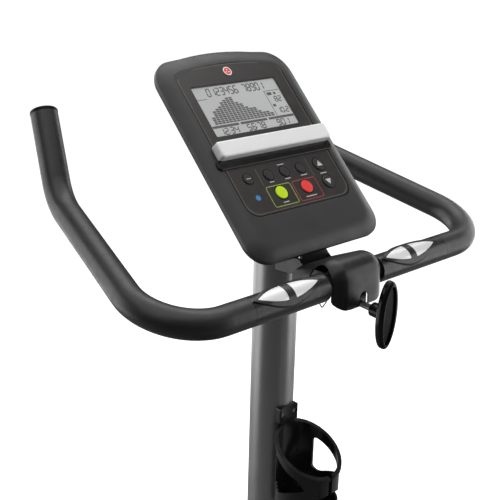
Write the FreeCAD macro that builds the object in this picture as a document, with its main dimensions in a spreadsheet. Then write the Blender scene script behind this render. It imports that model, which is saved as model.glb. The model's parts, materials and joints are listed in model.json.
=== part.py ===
import FreeCAD, Part
import math
import os
from types import SimpleNamespace

import Sketcher
from FreeCAD import Placement, Rotation, Vector

# Upright exercise bike, in millimetres. The origin is on the floor under the middle of the bike,
# X is the rider's right, Y points ahead of the rider and Z is up.
DIMENSIONS = {
    "bar_y": 181, "bar_z": 1140, "bar_corner_x": 280, "bar_tube_od": 25.4, "bar_tube_wall": 1.5,
    "foam_od": 33.3, "grip_y": 264.4, "grip_z": 78.3, "grip_x": 220.9, "grip_tip_x": 200.2,
    "grip_tip_y": 323.1, "grip_tip_z": 178.4, "lower_bend": 68, "upper_bend": 70, "grip_cap_od": 33.8,
    "sensor_start": 45.8, "sensor_end": 163.7, "sensor_mid": 104, "sensor_half": 52.5, "sensor_tilt": 32,
    "sensor_shift": -7, "hood_shift": -4,
    "mast_od": 57, "mast_wall": 2, "mast_y": 123.3, "mast_tilt": 2, "mast_foot": 600, "mast_head": 90,
    "console_y": 46.3, "console_z": 29.6, "console_tilt": 47.07, "console_half": 109,
    "console_low": -4.5, "console_shoulder": 275, "console_top": 284, "console_rim": 4.8,
    "face_lift": 7, "face_slope": 20, "shell_depth": 14, "hump_depth": 45, "skin": 2.5,
    "panel_half": 87, "panel_low": 51, "panel_top": 264, "display_w": 139, "display_tall": 72.5,
    "display_v": 198, "display_u": -2, "key_small": 6.5, "key_big": 8.5, "key_gap": 0.3, "key_proud": 1.2,
    "rack_half": 93, "rack_v": 129, "rack_tall": 21.5, "rack_proud": 12,
    "knob_tall": 85, "knob_w": 30, "knob_thick": 11, "knob_reach": 56, "stem_z": -25.5, "stem_tilt": 5,
    "cover_half": 43.6, "cover_top": 28.5, "cover_front": -21.5, "cover_back": 50, "cover_low": -28,
    "cup_od": 83, "cup_wall": 2.5, "cup_y": -70, "cup_top": -247, "cup_low": -345, "hoop_tilt": 27.7,
    "crank_y": -20, "crank_z": 300, "crank_len": 165, "spindle_od": 16.9, "crank_x": 68,
    "crank_thick": 12, "pulley_od": 220, "belt_x": 31, "belt_w": 8, "belt_thick": 3, "belt_gap": 0.3,
    "wheel_y": 150, "wheel_od": 264, "rim_left": -30, "rim_right": -8, "hub_pulley_od": 40,
    "axle_od": 12, "upright_x": 44, "upright_thick": 4,
    "beam_w": 50, "beam_tall": 70, "beam_low": 73, "beam_rear": -500, "beam_front": 455, "steel": 2.5,
    "seat_y": -75, "seat_z": 300, "seat_lean": 15, "seat_tube_od": 48, "seat_tube_top": 330,
    "post_od": 38.1, "post_wall": 2, "post_low": 190, "post_top": 600, "hole_pitch": 25, "pin_at": 300,
    "pin_od": 9.6, "pin_hole": 10,
    "foot_od": 60, "foot_half": 238, "foot_z": 42, "front_y": 440, "rear_y": -482, "cap_end": 273,
    "cap_start": 215, "roller_od": 44, "roller_y": 495, "roller_z": 24, "leveler_x": 256,
    "shroud_half": 60, "shroud_low": 110,
    "pedal_in": 94, "pedal_out": 186, "pedal_len": 90, "pedal_thick": 22, "pedal_axle_od": 14,
    "saddle_y": -245, "saddle_len": 275, "saddle_w": 236, "saddle_z": 884, "pad_thick": 45,
}

os.makedirs("parts", exist_ok=True)
doc = FreeCAD.newDocument("exercise_bike")
sheet = doc.addObject("Spreadsheet::Sheet", "Dim")
for row, (alias, number) in enumerate(DIMENSIONS.items(), start=1):
    sheet.set(f"A{row}", alias)
    sheet.set(f"B{row}", str(number))
    sheet.setAlias(f"B{row}", alias)
doc.recompute()
dim = SimpleNamespace(**{alias: float(sheet.get(alias)) for alias in DIMENSIONS})
nodes = []

X_AXIS = Vector(1, 0, 0)
Y_AXIS = Vector(0, 1, 0)
Z_AXIS = Vector(0, 0, 1)
BAR = Vector(0, dim.bar_y, dim.bar_z)
MAST = Placement(Vector(0, dim.bar_y + dim.mast_y, dim.bar_z), Rotation(X_AXIS, dim.mast_tilt))
CONSOLE = Placement(BAR + Vector(0, dim.console_y, dim.console_z), Rotation(X_AXIS, dim.console_tilt))
SEAT = Placement(Vector(0, dim.seat_y, dim.seat_z), Rotation(X_AXIS, dim.seat_lean))
STEM = Placement(BAR + Vector(0, 0, dim.stem_z), Rotation(X_AXIS, dim.stem_tilt))


# ---------------------------------------------------------------- geometry helpers
def rounded_path(points, radii, closed=False):
    """Lines joined by tangent arcs; radii[i] rounds points[i] (ends of an open path keep 0)."""
    count = len(points)
    joints = []
    for i, corner in enumerate(points):
        radius = radii[i]
        if radius == 0 or (not closed and i in (0, count - 1)):
            joints.append((corner, corner, None))
            continue
        back = (points[i - 1] - corner).normalize()
        ahead = (points[(i + 1) % count] - corner).normalize()
        half = back.getAngle(ahead) / 2
        reach = radius / math.tan(half)
        middle = (back + ahead).normalize()
        apex = corner + middle * (radius / math.sin(half) - radius)
        joints.append((corner + back * reach, corner + ahead * reach, apex))
    pieces = []
    for i, (start, end, apex) in enumerate(joints):
        if apex is not None:
            pieces.append(Part.Arc(start, apex, end))
        if closed or i < count - 1:
            following = joints[(i + 1) % count][0]
            if end.distanceToPoint(following) > 1e-6:
                pieces.append(Part.LineSegment(end, following))
    return pieces


def flat_points(pairs):
    return [Vector(a, b, 0) for a, b in pairs]


def box_outline(low_a, high_a, low_b, high_b, radius=0.0):
    corners = flat_points([(low_a, low_b), (high_a, low_b), (high_a, high_b), (low_a, high_b)])
    return rounded_path(corners, [radius] * 4, closed=True)


def hull_outline(first, first_radius, second, second_radius):
    """The outline round two circles, as a belt or a tapered arm has it."""
    span = second - first
    lean = math.asin((first_radius - second_radius) / span.Length)
    along = Vector(span).normalize()
    across = Vector(-along.y, along.x, 0)
    side = [along * math.sin(lean) + across * (turn * math.cos(lean)) for turn in (1, -1)]
    ends = [(first + n * first_radius, second + n * second_radius) for n in side]
    return [
        Part.LineSegment(ends[0][0], ends[0][1]),
        Part.Arc(ends[0][1], second + along * second_radius, ends[1][1]),
        Part.LineSegment(ends[1][1], ends[1][0]),
        Part.Arc(ends[1][0], first - along * first_radius, ends[0][0]),
    ]


def wire_of(pieces):
    return Part.Wire([piece.toShape() for piece in pieces])


def prism(pieces, low, high, axis="Z"):
    """A closed outline made solid between two heights along Z, or along X when it holds (y, z)."""
    face = Part.Face(wire_of(pieces))
    face.translate(Vector(0, 0, low))
    solid = face.extrude(Vector(0, 0, high - low))
    if axis == "X":
        solid.Placement = Placement(Vector(), Rotation(Vector(0, 1, 0), Vector(0, 0, 1), X_AXIS, "ZXY"))
    return solid


def rod(radius, start, end):
    """A round bar between two points."""
    span = end - start
    return Part.makeCylinder(radius, span.Length, start, span)


def ring(outer, inner, start, end):
    return rod(outer, start, end).cut(rod(inner, start, end))


def block(x0, x1, y0, y1, z0, z1):
    return Part.makeBox(x1 - x0, y1 - y0, z1 - z0, Vector(x0, y0, z0))


def pipe(path, radius):
    """A round bar bent along a path."""
    spine = wire_of(path)
    start = spine.OrderedVertexes[0].Point
    heading = spine.OrderedEdges[0].tangentAt(spine.OrderedEdges[0].FirstParameter)
    circle = Part.Wire(Part.makeCircle(radius, start, heading))
    return spine.makePipeShell([circle], True, True)


# ---------------------------------------------------------------- document helpers
def place(obj, label, placement):
    obj.Label = label
    obj.Placement = placement
    nodes.append(obj)
    return obj


def add_shape(label, shape, placement=Placement()):
    """A piece that no body or primitive suits, with its sizes read from the sheet."""
    feature = doc.addObject("Part::Feature", label)
    feature.Shape = shape
    return place(feature, label, placement)


def add_body(label, placement=Placement()):
    return place(doc.addObject("PartDesign::Body", label), label, placement)


def add_sketch(body, pieces=(), lift="0", role="XY_Plane"):
    plane = next(item for item in body.Origin.OriginFeatures if item.Role == role)
    sketch = body.newObject("Sketcher::SketchObject", f"{body.Label}_sketch")
    sketch.AttachmentSupport = (plane, [""])
    sketch.MapMode = "FlatFace"
    sketch.setExpression("AttachmentOffset.Base.z", lift)
    for piece in pieces:
        sketch.addGeometry(piece)
    return sketch


def add_circle(sketch, radius, x=0.0, y=0.0):
    """A circle whose radius follows a cell of the sheet."""
    number = float(sketch.evalExpression(radius))
    index = sketch.addGeometry(Part.Circle(Vector(x, y, 0), Z_AXIS, number))
    rule = sketch.addConstraint(Sketcher.Constraint("Radius", index, number))
    sketch.setExpression(f"Constraints[{rule}]", radius)
    return sketch


def feature_on(kind, body, sketch, length=None, reverse=False):
    feature = body.newObject(f"PartDesign::{kind}", f"{body.Label}_{kind}")
    feature.Profile = sketch
    if length is None:
        feature.Type = 1
    else:
        feature.setExpression("Length", length)
    feature.Reversed = reverse
    doc.recompute()
    return feature


def pad(body, sketch, length):
    return feature_on("Pad", body, sketch, length)


def pocket(body, sketch, length=None, upward=False):
    return feature_on("Pocket", body, sketch, length, upward)


def revolve(body, sketch, axis="V_Axis"):
    feature = body.newObject("PartDesign::Revolution", f"{body.Label}_Revolution")
    feature.Profile = sketch
    feature.ReferenceAxis = (sketch, [axis])
    feature.Angle = 360
    doc.recompute()
    return feature


def dress(kind, body, base, chosen, size):
    """A fillet or chamfer on the edges of the last feature that a test picks."""
    names = [f"Edge{i}" for i, edge in enumerate(base.Shape.Edges, start=1) if chosen(edge)]
    feature = body.newObject(f"PartDesign::{kind}", f"{body.Label}_{kind}")
    feature.Base = (base, names)
    feature.setExpression("Radius" if kind == "Fillet" else "Size", size)
    doc.recompute()
    return feature


def edge_at(height, tolerance=0.01):
    """Picks the edges that lie flat at one height of the body."""
    return lambda edge: all(abs(v.Z - height) < tolerance for v in edge.Vertexes) and \
        abs(edge.BoundBox.ZLength) < tolerance


def turned_body(label, profile, placement=Placement(), axis="H_Axis"):
    """A turned piece: its profile is (distance along the axis, radius)."""
    body = add_body(label, placement)
    sketch = add_sketch(body, rounded_path(flat_points(profile), [0] * len(profile), closed=True))
    revolve(body, sketch, axis)
    return body


# ---------------------------------------------------------------- frame
def mast_rod(radius, low, high):
    shape = rod(radius, Vector(0, 0, low), Vector(0, 0, high))
    shape.Placement = MAST
    return shape


def seat_rod(radius, low, high):
    shape = rod(radius, Vector(0, 0, low), Vector(0, 0, high))
    shape.Placement = SEAT
    return shape


def pin_rod(radius, low, high):
    """A round bar across the seat tube, out along the pull pin."""
    shape = rod(radius, Vector(0, low, dim.pin_at), Vector(0, high, dim.pin_at))
    shape.Placement = SEAT
    return shape


def foot_saddle(y):
    """The curved plate that sits on one floor tube."""
    centre = Vector(0, y, dim.foot_z)
    reach = Vector(48, 0, 0)
    plate = ring(dim.foot_od / 2 + 5, dim.foot_od / 2 + 0.15, centre - reach, centre + reach)
    plate = plate.common(block(-50, 50, y - 34, y + 34, dim.foot_z + 8, dim.foot_z + 60))
    for x in (-36, 36):
        plate = plate.cut(rod(4.1, Vector(x, y, dim.foot_z), Vector(x, y, dim.foot_z + 50)))
    return plate


def fork_upright(side):
    """One flywheel upright; the left one also reaches back to the brake pivot."""
    inner = side * dim.upright_x
    outer = side * (dim.upright_x + dim.upright_thick)
    top = dim.beam_low + dim.beam_tall
    outline = [(dim.wheel_y - 22, top), (dim.wheel_y + 22, top), (dim.wheel_y + 22, dim.crank_z + 30)]
    if side < 0:
        outline += [(105, 458), (58, 458), (58, 424)]
    outline += [(dim.wheel_y - 22, dim.crank_z + 10)]
    pieces = rounded_path(flat_points(outline), [0] * len(outline), closed=True)
    return prism(pieces, min(inner, outer), max(inner, outer), "X")


def build_main_frame():
    half = dim.beam_w / 2
    top = dim.beam_low + dim.beam_tall
    beam = block(-half, half, dim.beam_rear, dim.beam_front, dim.beam_low, top)
    hollow = block(-half + dim.steel, half - dim.steel, dim.beam_rear + dim.steel,
                   dim.beam_front - dim.steel, dim.beam_low + dim.steel, top - dim.steel)
    crank = Vector(0, dim.crank_y, dim.crank_z)
    shell = rod(20, crank + Vector(-40, 0, 0), crank + Vector(24, 0, 0))
    gusset = block(-14, 14, -70, -22, dim.crank_z - 45, dim.crank_z + 45)
    sill = block(-dim.upright_x - dim.upright_thick, dim.upright_x + dim.upright_thick,
                 dim.wheel_y - 30, dim.wheel_y + 30, top - 1, top + 4)
    seat_tube = seat_rod(dim.seat_tube_od / 2, -168, dim.seat_tube_top)
    boss = pin_rod(13, dim.seat_tube_od / 2 - 3, dim.seat_tube_od / 2 + 20)
    post_foot = block(-40, 40, dim.bar_y + dim.mast_y + 5, dim.bar_y + dim.mast_y + 65, top - 1, top + 6)
    front_post = mast_rod(dim.mast_od / 2, -1002, -dim.mast_foot - 1)
    spigot = mast_rod(dim.mast_od / 2 - dim.mast_wall - 0.1, -dim.mast_foot - 60, -dim.mast_foot + 95)
    solid = beam.fuse([shell, gusset, sill, seat_tube, boss, post_foot, front_post, spigot,
                       fork_upright(-1), fork_upright(1), foot_saddle(dim.front_y), foot_saddle(dim.rear_y)])
    above = block(-100, 100, dim.beam_rear, dim.beam_front, top - dim.steel, 2000)
    cuts = [
        hollow,
        seat_rod(dim.seat_tube_od / 2 - 2, -200, dim.seat_tube_top + 5).common(above),
        mast_rod(dim.mast_od / 2 - dim.mast_wall - 2.1, -1010, -dim.mast_foot + 100).common(above),
        rod(17.5, crank + Vector(-41, 0, 0), crank + Vector(-26, 0, 0)),
        rod(10, crank + Vector(-30, 0, 0), crank + Vector(20, 0, 0)),
        rod(17.5, crank + Vector(12, 0, 0), crank + Vector(25, 0, 0)),
        pin_rod(dim.pin_od / 2 + 0.05, 5, dim.seat_tube_od / 2 + 30),
        rod(dim.axle_od / 2 + 0.02, Vector(-60, dim.wheel_y, dim.crank_z), Vector(60, dim.wheel_y, dim.crank_z)),
        rod(5.02, Vector(-60, BRAKE_PIVOT.y, BRAKE_PIVOT.z), Vector(-30, BRAKE_PIVOT.y, BRAKE_PIVOT.z)),
        rod(4.02, Vector(40, TENSION_PIVOT.y, TENSION_PIVOT.z), Vector(60, TENSION_PIVOT.y, TENSION_PIVOT.z)),
    ]
    for tool in cuts:
        solid = solid.cut(tool)
    add_shape("main_frame", solid.removeSplitter())


BRAKE_PIVOT = Vector(0, 78, 441)
TENSION_PIVOT = Vector(0, 150, 200)


def build_floor_tube(label, y):
    body = add_body(label, Placement(Vector(0, y, dim.foot_z), Rotation()))
    pad(body, add_circle(add_sketch(body, lift="-Dim.foot_half", role="YZ_Plane"), "Dim.foot_od / 2"),
        "2 * Dim.foot_half")
    pocket(body, add_circle(add_sketch(body, lift="-Dim.foot_half", role="YZ_Plane"),
                            "Dim.foot_od / 2 - Dim.steel"), upward=True)
    holes = add_sketch(body)
    for x in (-36, 36):
        add_circle(holes, "4.1", x)
    pocket(body, holes, upward=True)
    body.setExpression("Placement.Base.z", "Dim.foot_z")


def end_cap(side, y, front):
    """A plastic cap on one end of a floor tube, its outline flat to the floor."""
    inner = side * dim.cap_start
    outer = side * dim.cap_end
    low, high = min(inner, outer), max(inner, outer)
    base = 0 if front else 12
    outline = flat_points([(y - 38, base), (y + 38, base), (y + 34, dim.foot_z + 34), (y - 34, dim.foot_z + 34)])
    cap = prism(rounded_path(outline, [4, 4, 30, 30], closed=True), low, high, "X")
    rim = [edge for edge in cap.Edges if edge.BoundBox.XLength < 0.01 and abs(edge.CenterOfMass.x - outer) < 0.01
           and edge.CenterOfMass.z > base + 1]
    cap = cap.makeFillet(9, rim)
    if front:
        for x in (228, 252):
            cheek = flat_points([(y + 20, 10), (dim.roller_y + 12, 12), (dim.roller_y + 12, 38), (y + 20, 52)])
            start = side * x
            end = side * (x + 4)
            cap = cap.fuse(prism(rounded_path(cheek, [0, 11, 11, 0], closed=True), min(start, end),
                                 max(start, end), "X"))
        cap = cap.cut(rod(dim.roller_od / 2 + 1.5, Vector(side * 232, dim.roller_y, dim.roller_z),
                          Vector(side * 252, dim.roller_y, dim.roller_z)))
        cap = cap.cut(rod(4.02, Vector(side * 220, dim.roller_y, dim.roller_z),
                          Vector(side * 258, dim.roller_y, dim.roller_z)))
    else:
        cap = cap.cut(rod(5.05, Vector(side * dim.leveler_x, y, 0), Vector(side * dim.leveler_x, y, 66)))
    socket_start = Vector(side * (dim.cap_start - 1), y, dim.foot_z)
    socket_end = Vector(side * dim.foot_half, y, dim.foot_z)
    return cap.cut(rod(dim.foot_od / 2 + 0.1, socket_start, socket_end))


def build_end_caps():
    add_shape("front_end_caps", Part.makeCompound([end_cap(side, dim.front_y, True) for side in (-1, 1)]))
    add_shape("rear_end_caps", Part.makeCompound([end_cap(side, dim.rear_y, False) for side in (-1, 1)]))


def build_levelers_and_rollers():
    for side, name in ((-1, "left"), (1, "right")):
        foot = [(0, 0), (16, 0), (16, 4), (14, 10), (5, 10), (5, 48), (0, 48)]
        turned_body(f"{name}_leveler", foot, Placement(Vector(side * dim.leveler_x, dim.rear_y, 0),
                                                       Rotation(X_AXIS, 90)), "V_Axis")
        half = 9.5
        tread = dim.roller_od / 2
        roller = [(-half, 4.05), (-half, tread - 2), (-half + 2, tread), (half - 2, tread),
                  (half, tread - 2), (half, 4.05)]
        middle = side * 242
        turned_body(f"{name}_roller", roller, Placement(Vector(middle, dim.roller_y, dim.roller_z), Rotation()))


# ---------------------------------------------------------------- drive
def build_crank():
    body = doc.addObject("Part::Cylinder", "crank_spindle")
    body.setExpression("Radius", "Dim.spindle_od / 2")
    body.Height = 166
    place(body, "crank_spindle", Placement(Vector(-83, dim.crank_y, dim.crank_z), Rotation(Y_AXIS, 90)))
    for side, name, throw in ((-1, "left", 1), (1, "right", -1)):
        build_crank_arm(side, f"{name}_crank", throw)
    rim = dim.pulley_od / 2
    left = dim.belt_x - 1
    right = dim.belt_x + dim.belt_w + 1
    profile = [(27, 8.5), (27, 24), (left + 3, 24), (left + 3, rim - 12), (left, rim - 12), (left, rim),
               (right, rim), (right, rim - 12), (right - 3, rim - 12), (right - 3, 24), (right, 24), (right, 8.5)]
    pulley = turned_body("drive_pulley", profile, Placement(Vector(0, dim.crank_y, dim.crank_z), Rotation()))
    windows = add_sketch(pulley, role="YZ_Plane")
    for i in range(5):
        turn = math.radians(72 * i)
        add_circle(windows, "22", 61 * math.cos(turn), 61 * math.sin(turn))
    pocket(pulley, windows, upward=True)


def build_crank_arm(side, label, throw):
    def span(near, far):
        """The lift and length of a layer between two distances from the middle plane."""
        return f"{near if side > 0 else -far}", f"{far - near}"

    body = add_body(label, Placement(Vector(0, dim.crank_y, dim.crank_z), Rotation()))
    tip = Vector(0, throw * dim.crank_len, 0)
    lift, length = span(dim.crank_x, dim.crank_x + dim.crank_thick)
    pad(body, add_sketch(body, hull_outline(Vector(), 18, tip, 13.5), lift, "YZ_Plane"), length)
    lift, length = span(64, 86)
    boss = pad(body, add_circle(add_sketch(body, (), lift, "YZ_Plane"), "18"), length)
    outer = side * 86
    dress("Fillet", body, boss, lambda e: abs(e.CenterOfMass.x - outer) < 0.01 and e.BoundBox.XLength < 0.01, "4")
    lift, length = span(60, 83.5)
    pocket(body, add_circle(add_sketch(body, (), lift, "YZ_Plane"), "Dim.spindle_od / 2 + 0.02"), length, True)
    lift, length = span(66, 192)
    pad(body, add_circle(add_sketch(body, (), lift, "YZ_Plane"), "Dim.pedal_axle_od / 2", tip.x, tip.y), length)


def build_pedal(side, name, throw):
    """Platform pedal with its toe strap; modelled for the right, mirrored for the left."""
    low, high = dim.pedal_in, dim.pedal_out
    half = dim.pedal_len / 2
    thick = dim.pedal_thick / 2
    plate = block(low, high, -half, half, -thick, thick)
    corners = [e for e in plate.Edges if e.BoundBox.ZLength > 2 * thick - 0.1]
    plate = plate.makeFillet(12, corners)
    for sign in (-1, 1):
        near, far = sorted((sign * 15, sign * (half - 8)))
        for x in range(int(low) + 10, int(high) - 20, 19):
            plate = plate.cut(block(x, x + 15, near, far, -20, 20))
    hub = rod(13, Vector(low - 6, 0, 0), Vector(high + 10, 0, 0))
    pedal = plate.fuse(hub).cut(rod(dim.pedal_axle_od / 2 + 0.05, Vector(low - 10, 0, 0), Vector(194, 0, 0)))
    middle = (low + high) / 2
    outer = [Part.LineSegment(Vector(high + 3, -8, 0), Vector(high + 3, 12, 0)),
             Part.Arc(Vector(high + 3, 12, 0), Vector(middle, 68, 0), Vector(low - 3, 12, 0)),
             Part.LineSegment(Vector(low - 3, 12, 0), Vector(low - 3, -8, 0)),
             Part.LineSegment(Vector(low - 3, -8, 0), Vector(low - 0.5, -8, 0)),
             Part.LineSegment(Vector(low - 0.5, -8, 0), Vector(low - 0.5, 12, 0)),
             Part.Arc(Vector(low - 0.5, 12, 0), Vector(middle, 65.5, 0), Vector(high + 0.5, 12, 0)),
             Part.LineSegment(Vector(high + 0.5, 12, 0), Vector(high + 0.5, -8, 0)),
             Part.LineSegment(Vector(high + 0.5, -8, 0), Vector(high + 3, -8, 0))]
    strap = prism(outer, -40, -16)
    strap.Placement = Placement(Vector(), Rotation(X_AXIS, 90))
    shape = Part.makeCompound([pedal, strap])
    if side < 0:
        shape = shape.mirror(Vector(), X_AXIS)
    centre = Vector(0, dim.crank_y, dim.crank_z + throw * dim.crank_len)
    add_shape(f"{name}_pedal", shape, Placement(centre, Rotation()))


def build_flywheel():
    outer = dim.wheel_od / 2
    left, right = dim.rim_left, dim.rim_right
    near = dim.belt_x
    far = dim.belt_x + dim.belt_w
    seat = dim.hub_pulley_od / 2
    bore = dim.axle_od / 2 + 0.05
    profile = [(-38, bore), (-38, 15), (left + 8, 15), (left + 8, outer - 32), (left, outer - 32),
               (left, outer - 2), (left + 2, outer), (right - 2, outer), (right, outer - 2),
               (right, outer - 32), (right - 8, outer - 32), (right - 8, 15), (near - 2, 15),
               (near - 2, seat + 3), (near, seat + 3), (near, seat), (far, seat), (far, seat + 3),
               (far + 2, seat + 3), (far + 2, bore)]
    wheel = turned_body("flywheel", profile, Placement(Vector(0, dim.wheel_y, dim.crank_z), Rotation()))
    holes = add_sketch(wheel, role="YZ_Plane", lift="-30")
    for i in range(6):
        turn = math.radians(60 * i)
        add_circle(holes, "16", 60 * math.cos(turn), 60 * math.sin(turn))
    pocket(wheel, holes, "20", upward=True)


def build_belt():
    crank = Vector(dim.crank_y, dim.crank_z, 0)
    wheel = Vector(dim.wheel_y, dim.crank_z, 0)
    loops = []
    for extra in (dim.belt_gap, dim.belt_gap + dim.belt_thick):
        loops.append(hull_outline(crank, dim.pulley_od / 2 + extra, wheel, dim.hub_pulley_od / 2 + extra))
    edge = 0.3
    low = dim.belt_x + edge
    high = dim.belt_x + dim.belt_w - edge
    add_shape("drive_belt", prism(loops[1], low, high, "X").cut(prism(loops[0], low - 1, high + 1, "X")))


IDLER_RADIUS = 18


def idler_centre():
    """The idler rests against the outside of the belt's lower run."""
    lean = math.asin((dim.pulley_od - dim.hub_pulley_od) / 2 / (dim.wheel_y - dim.crank_y))
    outward = Vector(0, math.sin(lean), -math.cos(lean))
    start = Vector(0, dim.crank_y, dim.crank_z) + outward * (dim.pulley_od / 2)
    end = Vector(0, dim.wheel_y, dim.crank_z) + outward * (dim.hub_pulley_od / 2)
    reach = IDLER_RADIUS + dim.belt_gap + dim.belt_thick + 0.4
    return (start + end) * 0.5 + outward * reach


def build_tensioner():
    idler = idler_centre()
    left = dim.belt_x + dim.belt_w + 1.6
    pivot = TENSION_PIVOT
    arm = prism(hull_outline(Vector(pivot.y, pivot.z, 0), 11, Vector(idler.y, idler.z, 0), 9), left, left + 3, "X")
    arm = arm.fuse(rod(4, Vector(dim.belt_x - 1, idler.y, idler.z), Vector(left + 1, idler.y, idler.z)))
    arm = arm.fuse(rod(8, Vector(left - 7, pivot.y, pivot.z), Vector(left + 1, pivot.y, pivot.z)))
    arm = arm.cut(rod(4.05, Vector(left - 9, pivot.y, pivot.z), Vector(left + 9, pivot.y, pivot.z)))
    add_shape("tensioner_arm", arm)
    half = dim.belt_w / 2
    profile = [(-half, 4.05), (-half, IDLER_RADIUS - 1), (-half + 1, IDLER_RADIUS), (half - 1, IDLER_RADIUS),
               (half, IDLER_RADIUS - 1), (half, 4.05)]
    turned_body("idler_wheel", profile, Placement(Vector(dim.belt_x + half, idler.y, idler.z), Rotation()))


def arc_band(inner, outer, start, end):
    """An annular sector round the flywheel axle, with angles up from straight ahead."""
    def at(radius, angle):
        turn = math.radians(angle)
        return Vector(dim.wheel_y + radius * math.cos(turn), dim.crank_z + radius * math.sin(turn), 0)

    middle = (start + end) / 2
    return [Part.Arc(at(outer, start), at(outer, middle), at(outer, end)),
            Part.LineSegment(at(outer, end), at(inner, end)),
            Part.Arc(at(inner, end), at(inner, middle), at(inner, start)),
            Part.LineSegment(at(inner, start), at(outer, start))]


def build_brake():
    """The magnet carrier that swings over the flywheel rim, and the motor that moves it."""
    rim = dim.wheel_od / 2
    low, high = dim.rim_left - 6, dim.rim_right + 6
    arm = prism(arc_band(rim + 9, rim + 18, 62, 117), low, high, "X")
    arm = arm.fuse(prism(hull_outline(Vector(BRAKE_PIVOT.y, BRAKE_PIVOT.z, 0), 10,
                                      Vector(102, 436, 0), 6), low, high, "X"))
    arm = arm.cut(rod(5.05, Vector(low - 1, BRAKE_PIVOT.y, BRAKE_PIVOT.z),
                      Vector(high + 1, BRAKE_PIVOT.y, BRAKE_PIVOT.z)))
    magnets = [prism(arc_band(rim + 6, rim + 9, angle, angle + 9), low + 8, high - 8, "X")
               for angle in (66, 80, 94)]
    add_shape("brake_arm", Part.makeCompound([arm] + magnets))
    motor = block(-30, 8, 205, 262, 454, 491)
    motor = motor.makeFillet(5, [e for e in motor.Edges if e.BoundBox.YLength > 50])
    motor = motor.fuse(rod(9, Vector(-11, 262, 473), Vector(-11, 270, 473)))
    motor = motor.fuse(block(-24, 2, 262, dim.mast_y + dim.bar_y - 10, 457, 463))
    add_shape("brake_motor", motor)


def build_small_hardware():
    crank = Vector(0, dim.crank_y, dim.crank_z)
    rings = [ring(17.45, dim.spindle_od / 2 + 0.05, crank + Vector(x, 0, 0), crank + Vector(x + 10, 0, 0))
             for x in (-36, 12.05)]
    add_shape("bearings", Part.makeCompound(rings))
    pins = [rod(dim.axle_od / 2, Vector(-54, dim.wheel_y, dim.crank_z), Vector(54, dim.wheel_y, dim.crank_z)),
            rod(5, Vector(-52, BRAKE_PIVOT.y, BRAKE_PIVOT.z), Vector(0, BRAKE_PIVOT.y, BRAKE_PIVOT.z)),
            rod(4, Vector(32, TENSION_PIVOT.y, TENSION_PIVOT.z), Vector(50, TENSION_PIVOT.y, TENSION_PIVOT.z))]
    for side in (-1, 1):
        pins.append(rod(4, Vector(side * 226, dim.roller_y, dim.roller_z),
                        Vector(side * 258, dim.roller_y, dim.roller_z)))
    add_shape("axle_pins", Part.makeCompound(pins))
    bolts = []
    for y in (dim.front_y, dim.rear_y):
        for x in (-36, 36):
            crown = dim.foot_z + dim.foot_od / 2 + 5.1
            head = Part.makeSphere(10, Vector(x, y, crown - 5)).common(block(-99, 99, y - 20, y + 20, crown, crown + 9))
            bolts.append(head.fuse(rod(4, Vector(x, y, crown - 32), Vector(x, y, crown + 1))))
    for x in (-57, 57):
        bolts.append(rod(8, Vector(x - math.copysign(9, x), dim.wheel_y, dim.crank_z),
                         Vector(x - math.copysign(2.9, x), dim.wheel_y, dim.crank_z)).cut(
            rod(dim.axle_od / 2, Vector(-60, dim.wheel_y, dim.crank_z), Vector(60, dim.wheel_y, dim.crank_z))))
    add_shape("frame_bolts", Part.makeCompound(bolts))


# ---------------------------------------------------------------- shrouds
def shroud_outline(shrink):
    """Side view of the drive cover, pulled in by the wall where it is asked for the cavity."""
    w = shrink
    points = [(-172 + w, dim.shroud_low + w), (392 - w, dim.shroud_low + w), (404 - w, 240),
              (368 - w, 470), (366 - w, 600 - w), (276 + w, 600 - w), (215, 500 - w), (20, 468 - w),
              (-96 + w, 552 - w), (-188 + w, 552 - w), (-212 + w, 330)]
    radii = [40, 50, 160, 140, 12, 14, 120, 160, 40, 16, 160]
    return rounded_path(flat_points(points), radii, closed=True)


def build_shrouds():
    wall = 2.5
    cuts = [seat_rod(dim.seat_tube_od / 2 + 0.6, -200, 500), mast_rod(dim.mast_od / 2 + 0.6, -1100, 0),
            block(-dim.beam_w / 2 - 1, dim.beam_w / 2 + 1, -600, 600, 0, dim.beam_low + dim.beam_tall + 0.5),
            pin_rod(14, 20, 60),
            rod(24, Vector(-80, dim.crank_y, dim.crank_z), Vector(80, dim.crank_y, dim.crank_z))]
    for side, name in ((-1, "left"), (1, "right")):
        seam, face = side * 0.15, side * dim.shroud_half
        outer = prism(shroud_outline(0), min(seam, face), max(seam, face), "X")
        rim = [e for e in outer.Edges if abs(e.CenterOfMass.x - face) < 0.01 and e.BoundBox.XLength < 0.01]
        outer = outer.makeFillet(14, rim)
        inner = side * (dim.shroud_half - wall)
        cavity = prism(shroud_outline(wall), min(0, inner), max(0, inner), "X")
        rim = [e for e in cavity.Edges if abs(e.CenterOfMass.x - inner) < 0.01 and e.BoundBox.XLength < 0.01]
        shell = outer.cut(cavity.makeFillet(11.5, rim))
        for tool in cuts:
            shell = shell.cut(tool)
        if side > 0:
            shell = shell.cut(rod(6.1, Vector(32, 370, 190), Vector(32, 420, 190)))
            shell = shell.cut(rod(8.2, Vector(32, 399.4, 190), Vector(32, 420, 190)))
        add_shape(f"{name}_shroud", shell)


def build_mast_boot():
    """The collar that closes the top of the cover round the mast."""
    base = 600.2
    profile = [(10, 0), (38, 0), (38, 4), (34, 10), (31.5, 50), (29, 53), (10, 53)]
    outline = rounded_path(flat_points(profile), [0, 0, 2, 4, 3, 0, 0], closed=True)
    turned = Part.Face(wire_of(outline)).revolve(Vector(), Y_AXIS, 360)
    turned.Placement = Placement(MAST.multVec(Vector(0, 0, base - dim.bar_z)), Rotation(X_AXIS, 90))
    turned.translate(Vector(0, 0, base - turned.Placement.Base.z))
    add_shape("mast_boot", turned.cut(mast_rod(dim.mast_od / 2 + 0.1, -700, -300)))


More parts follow.
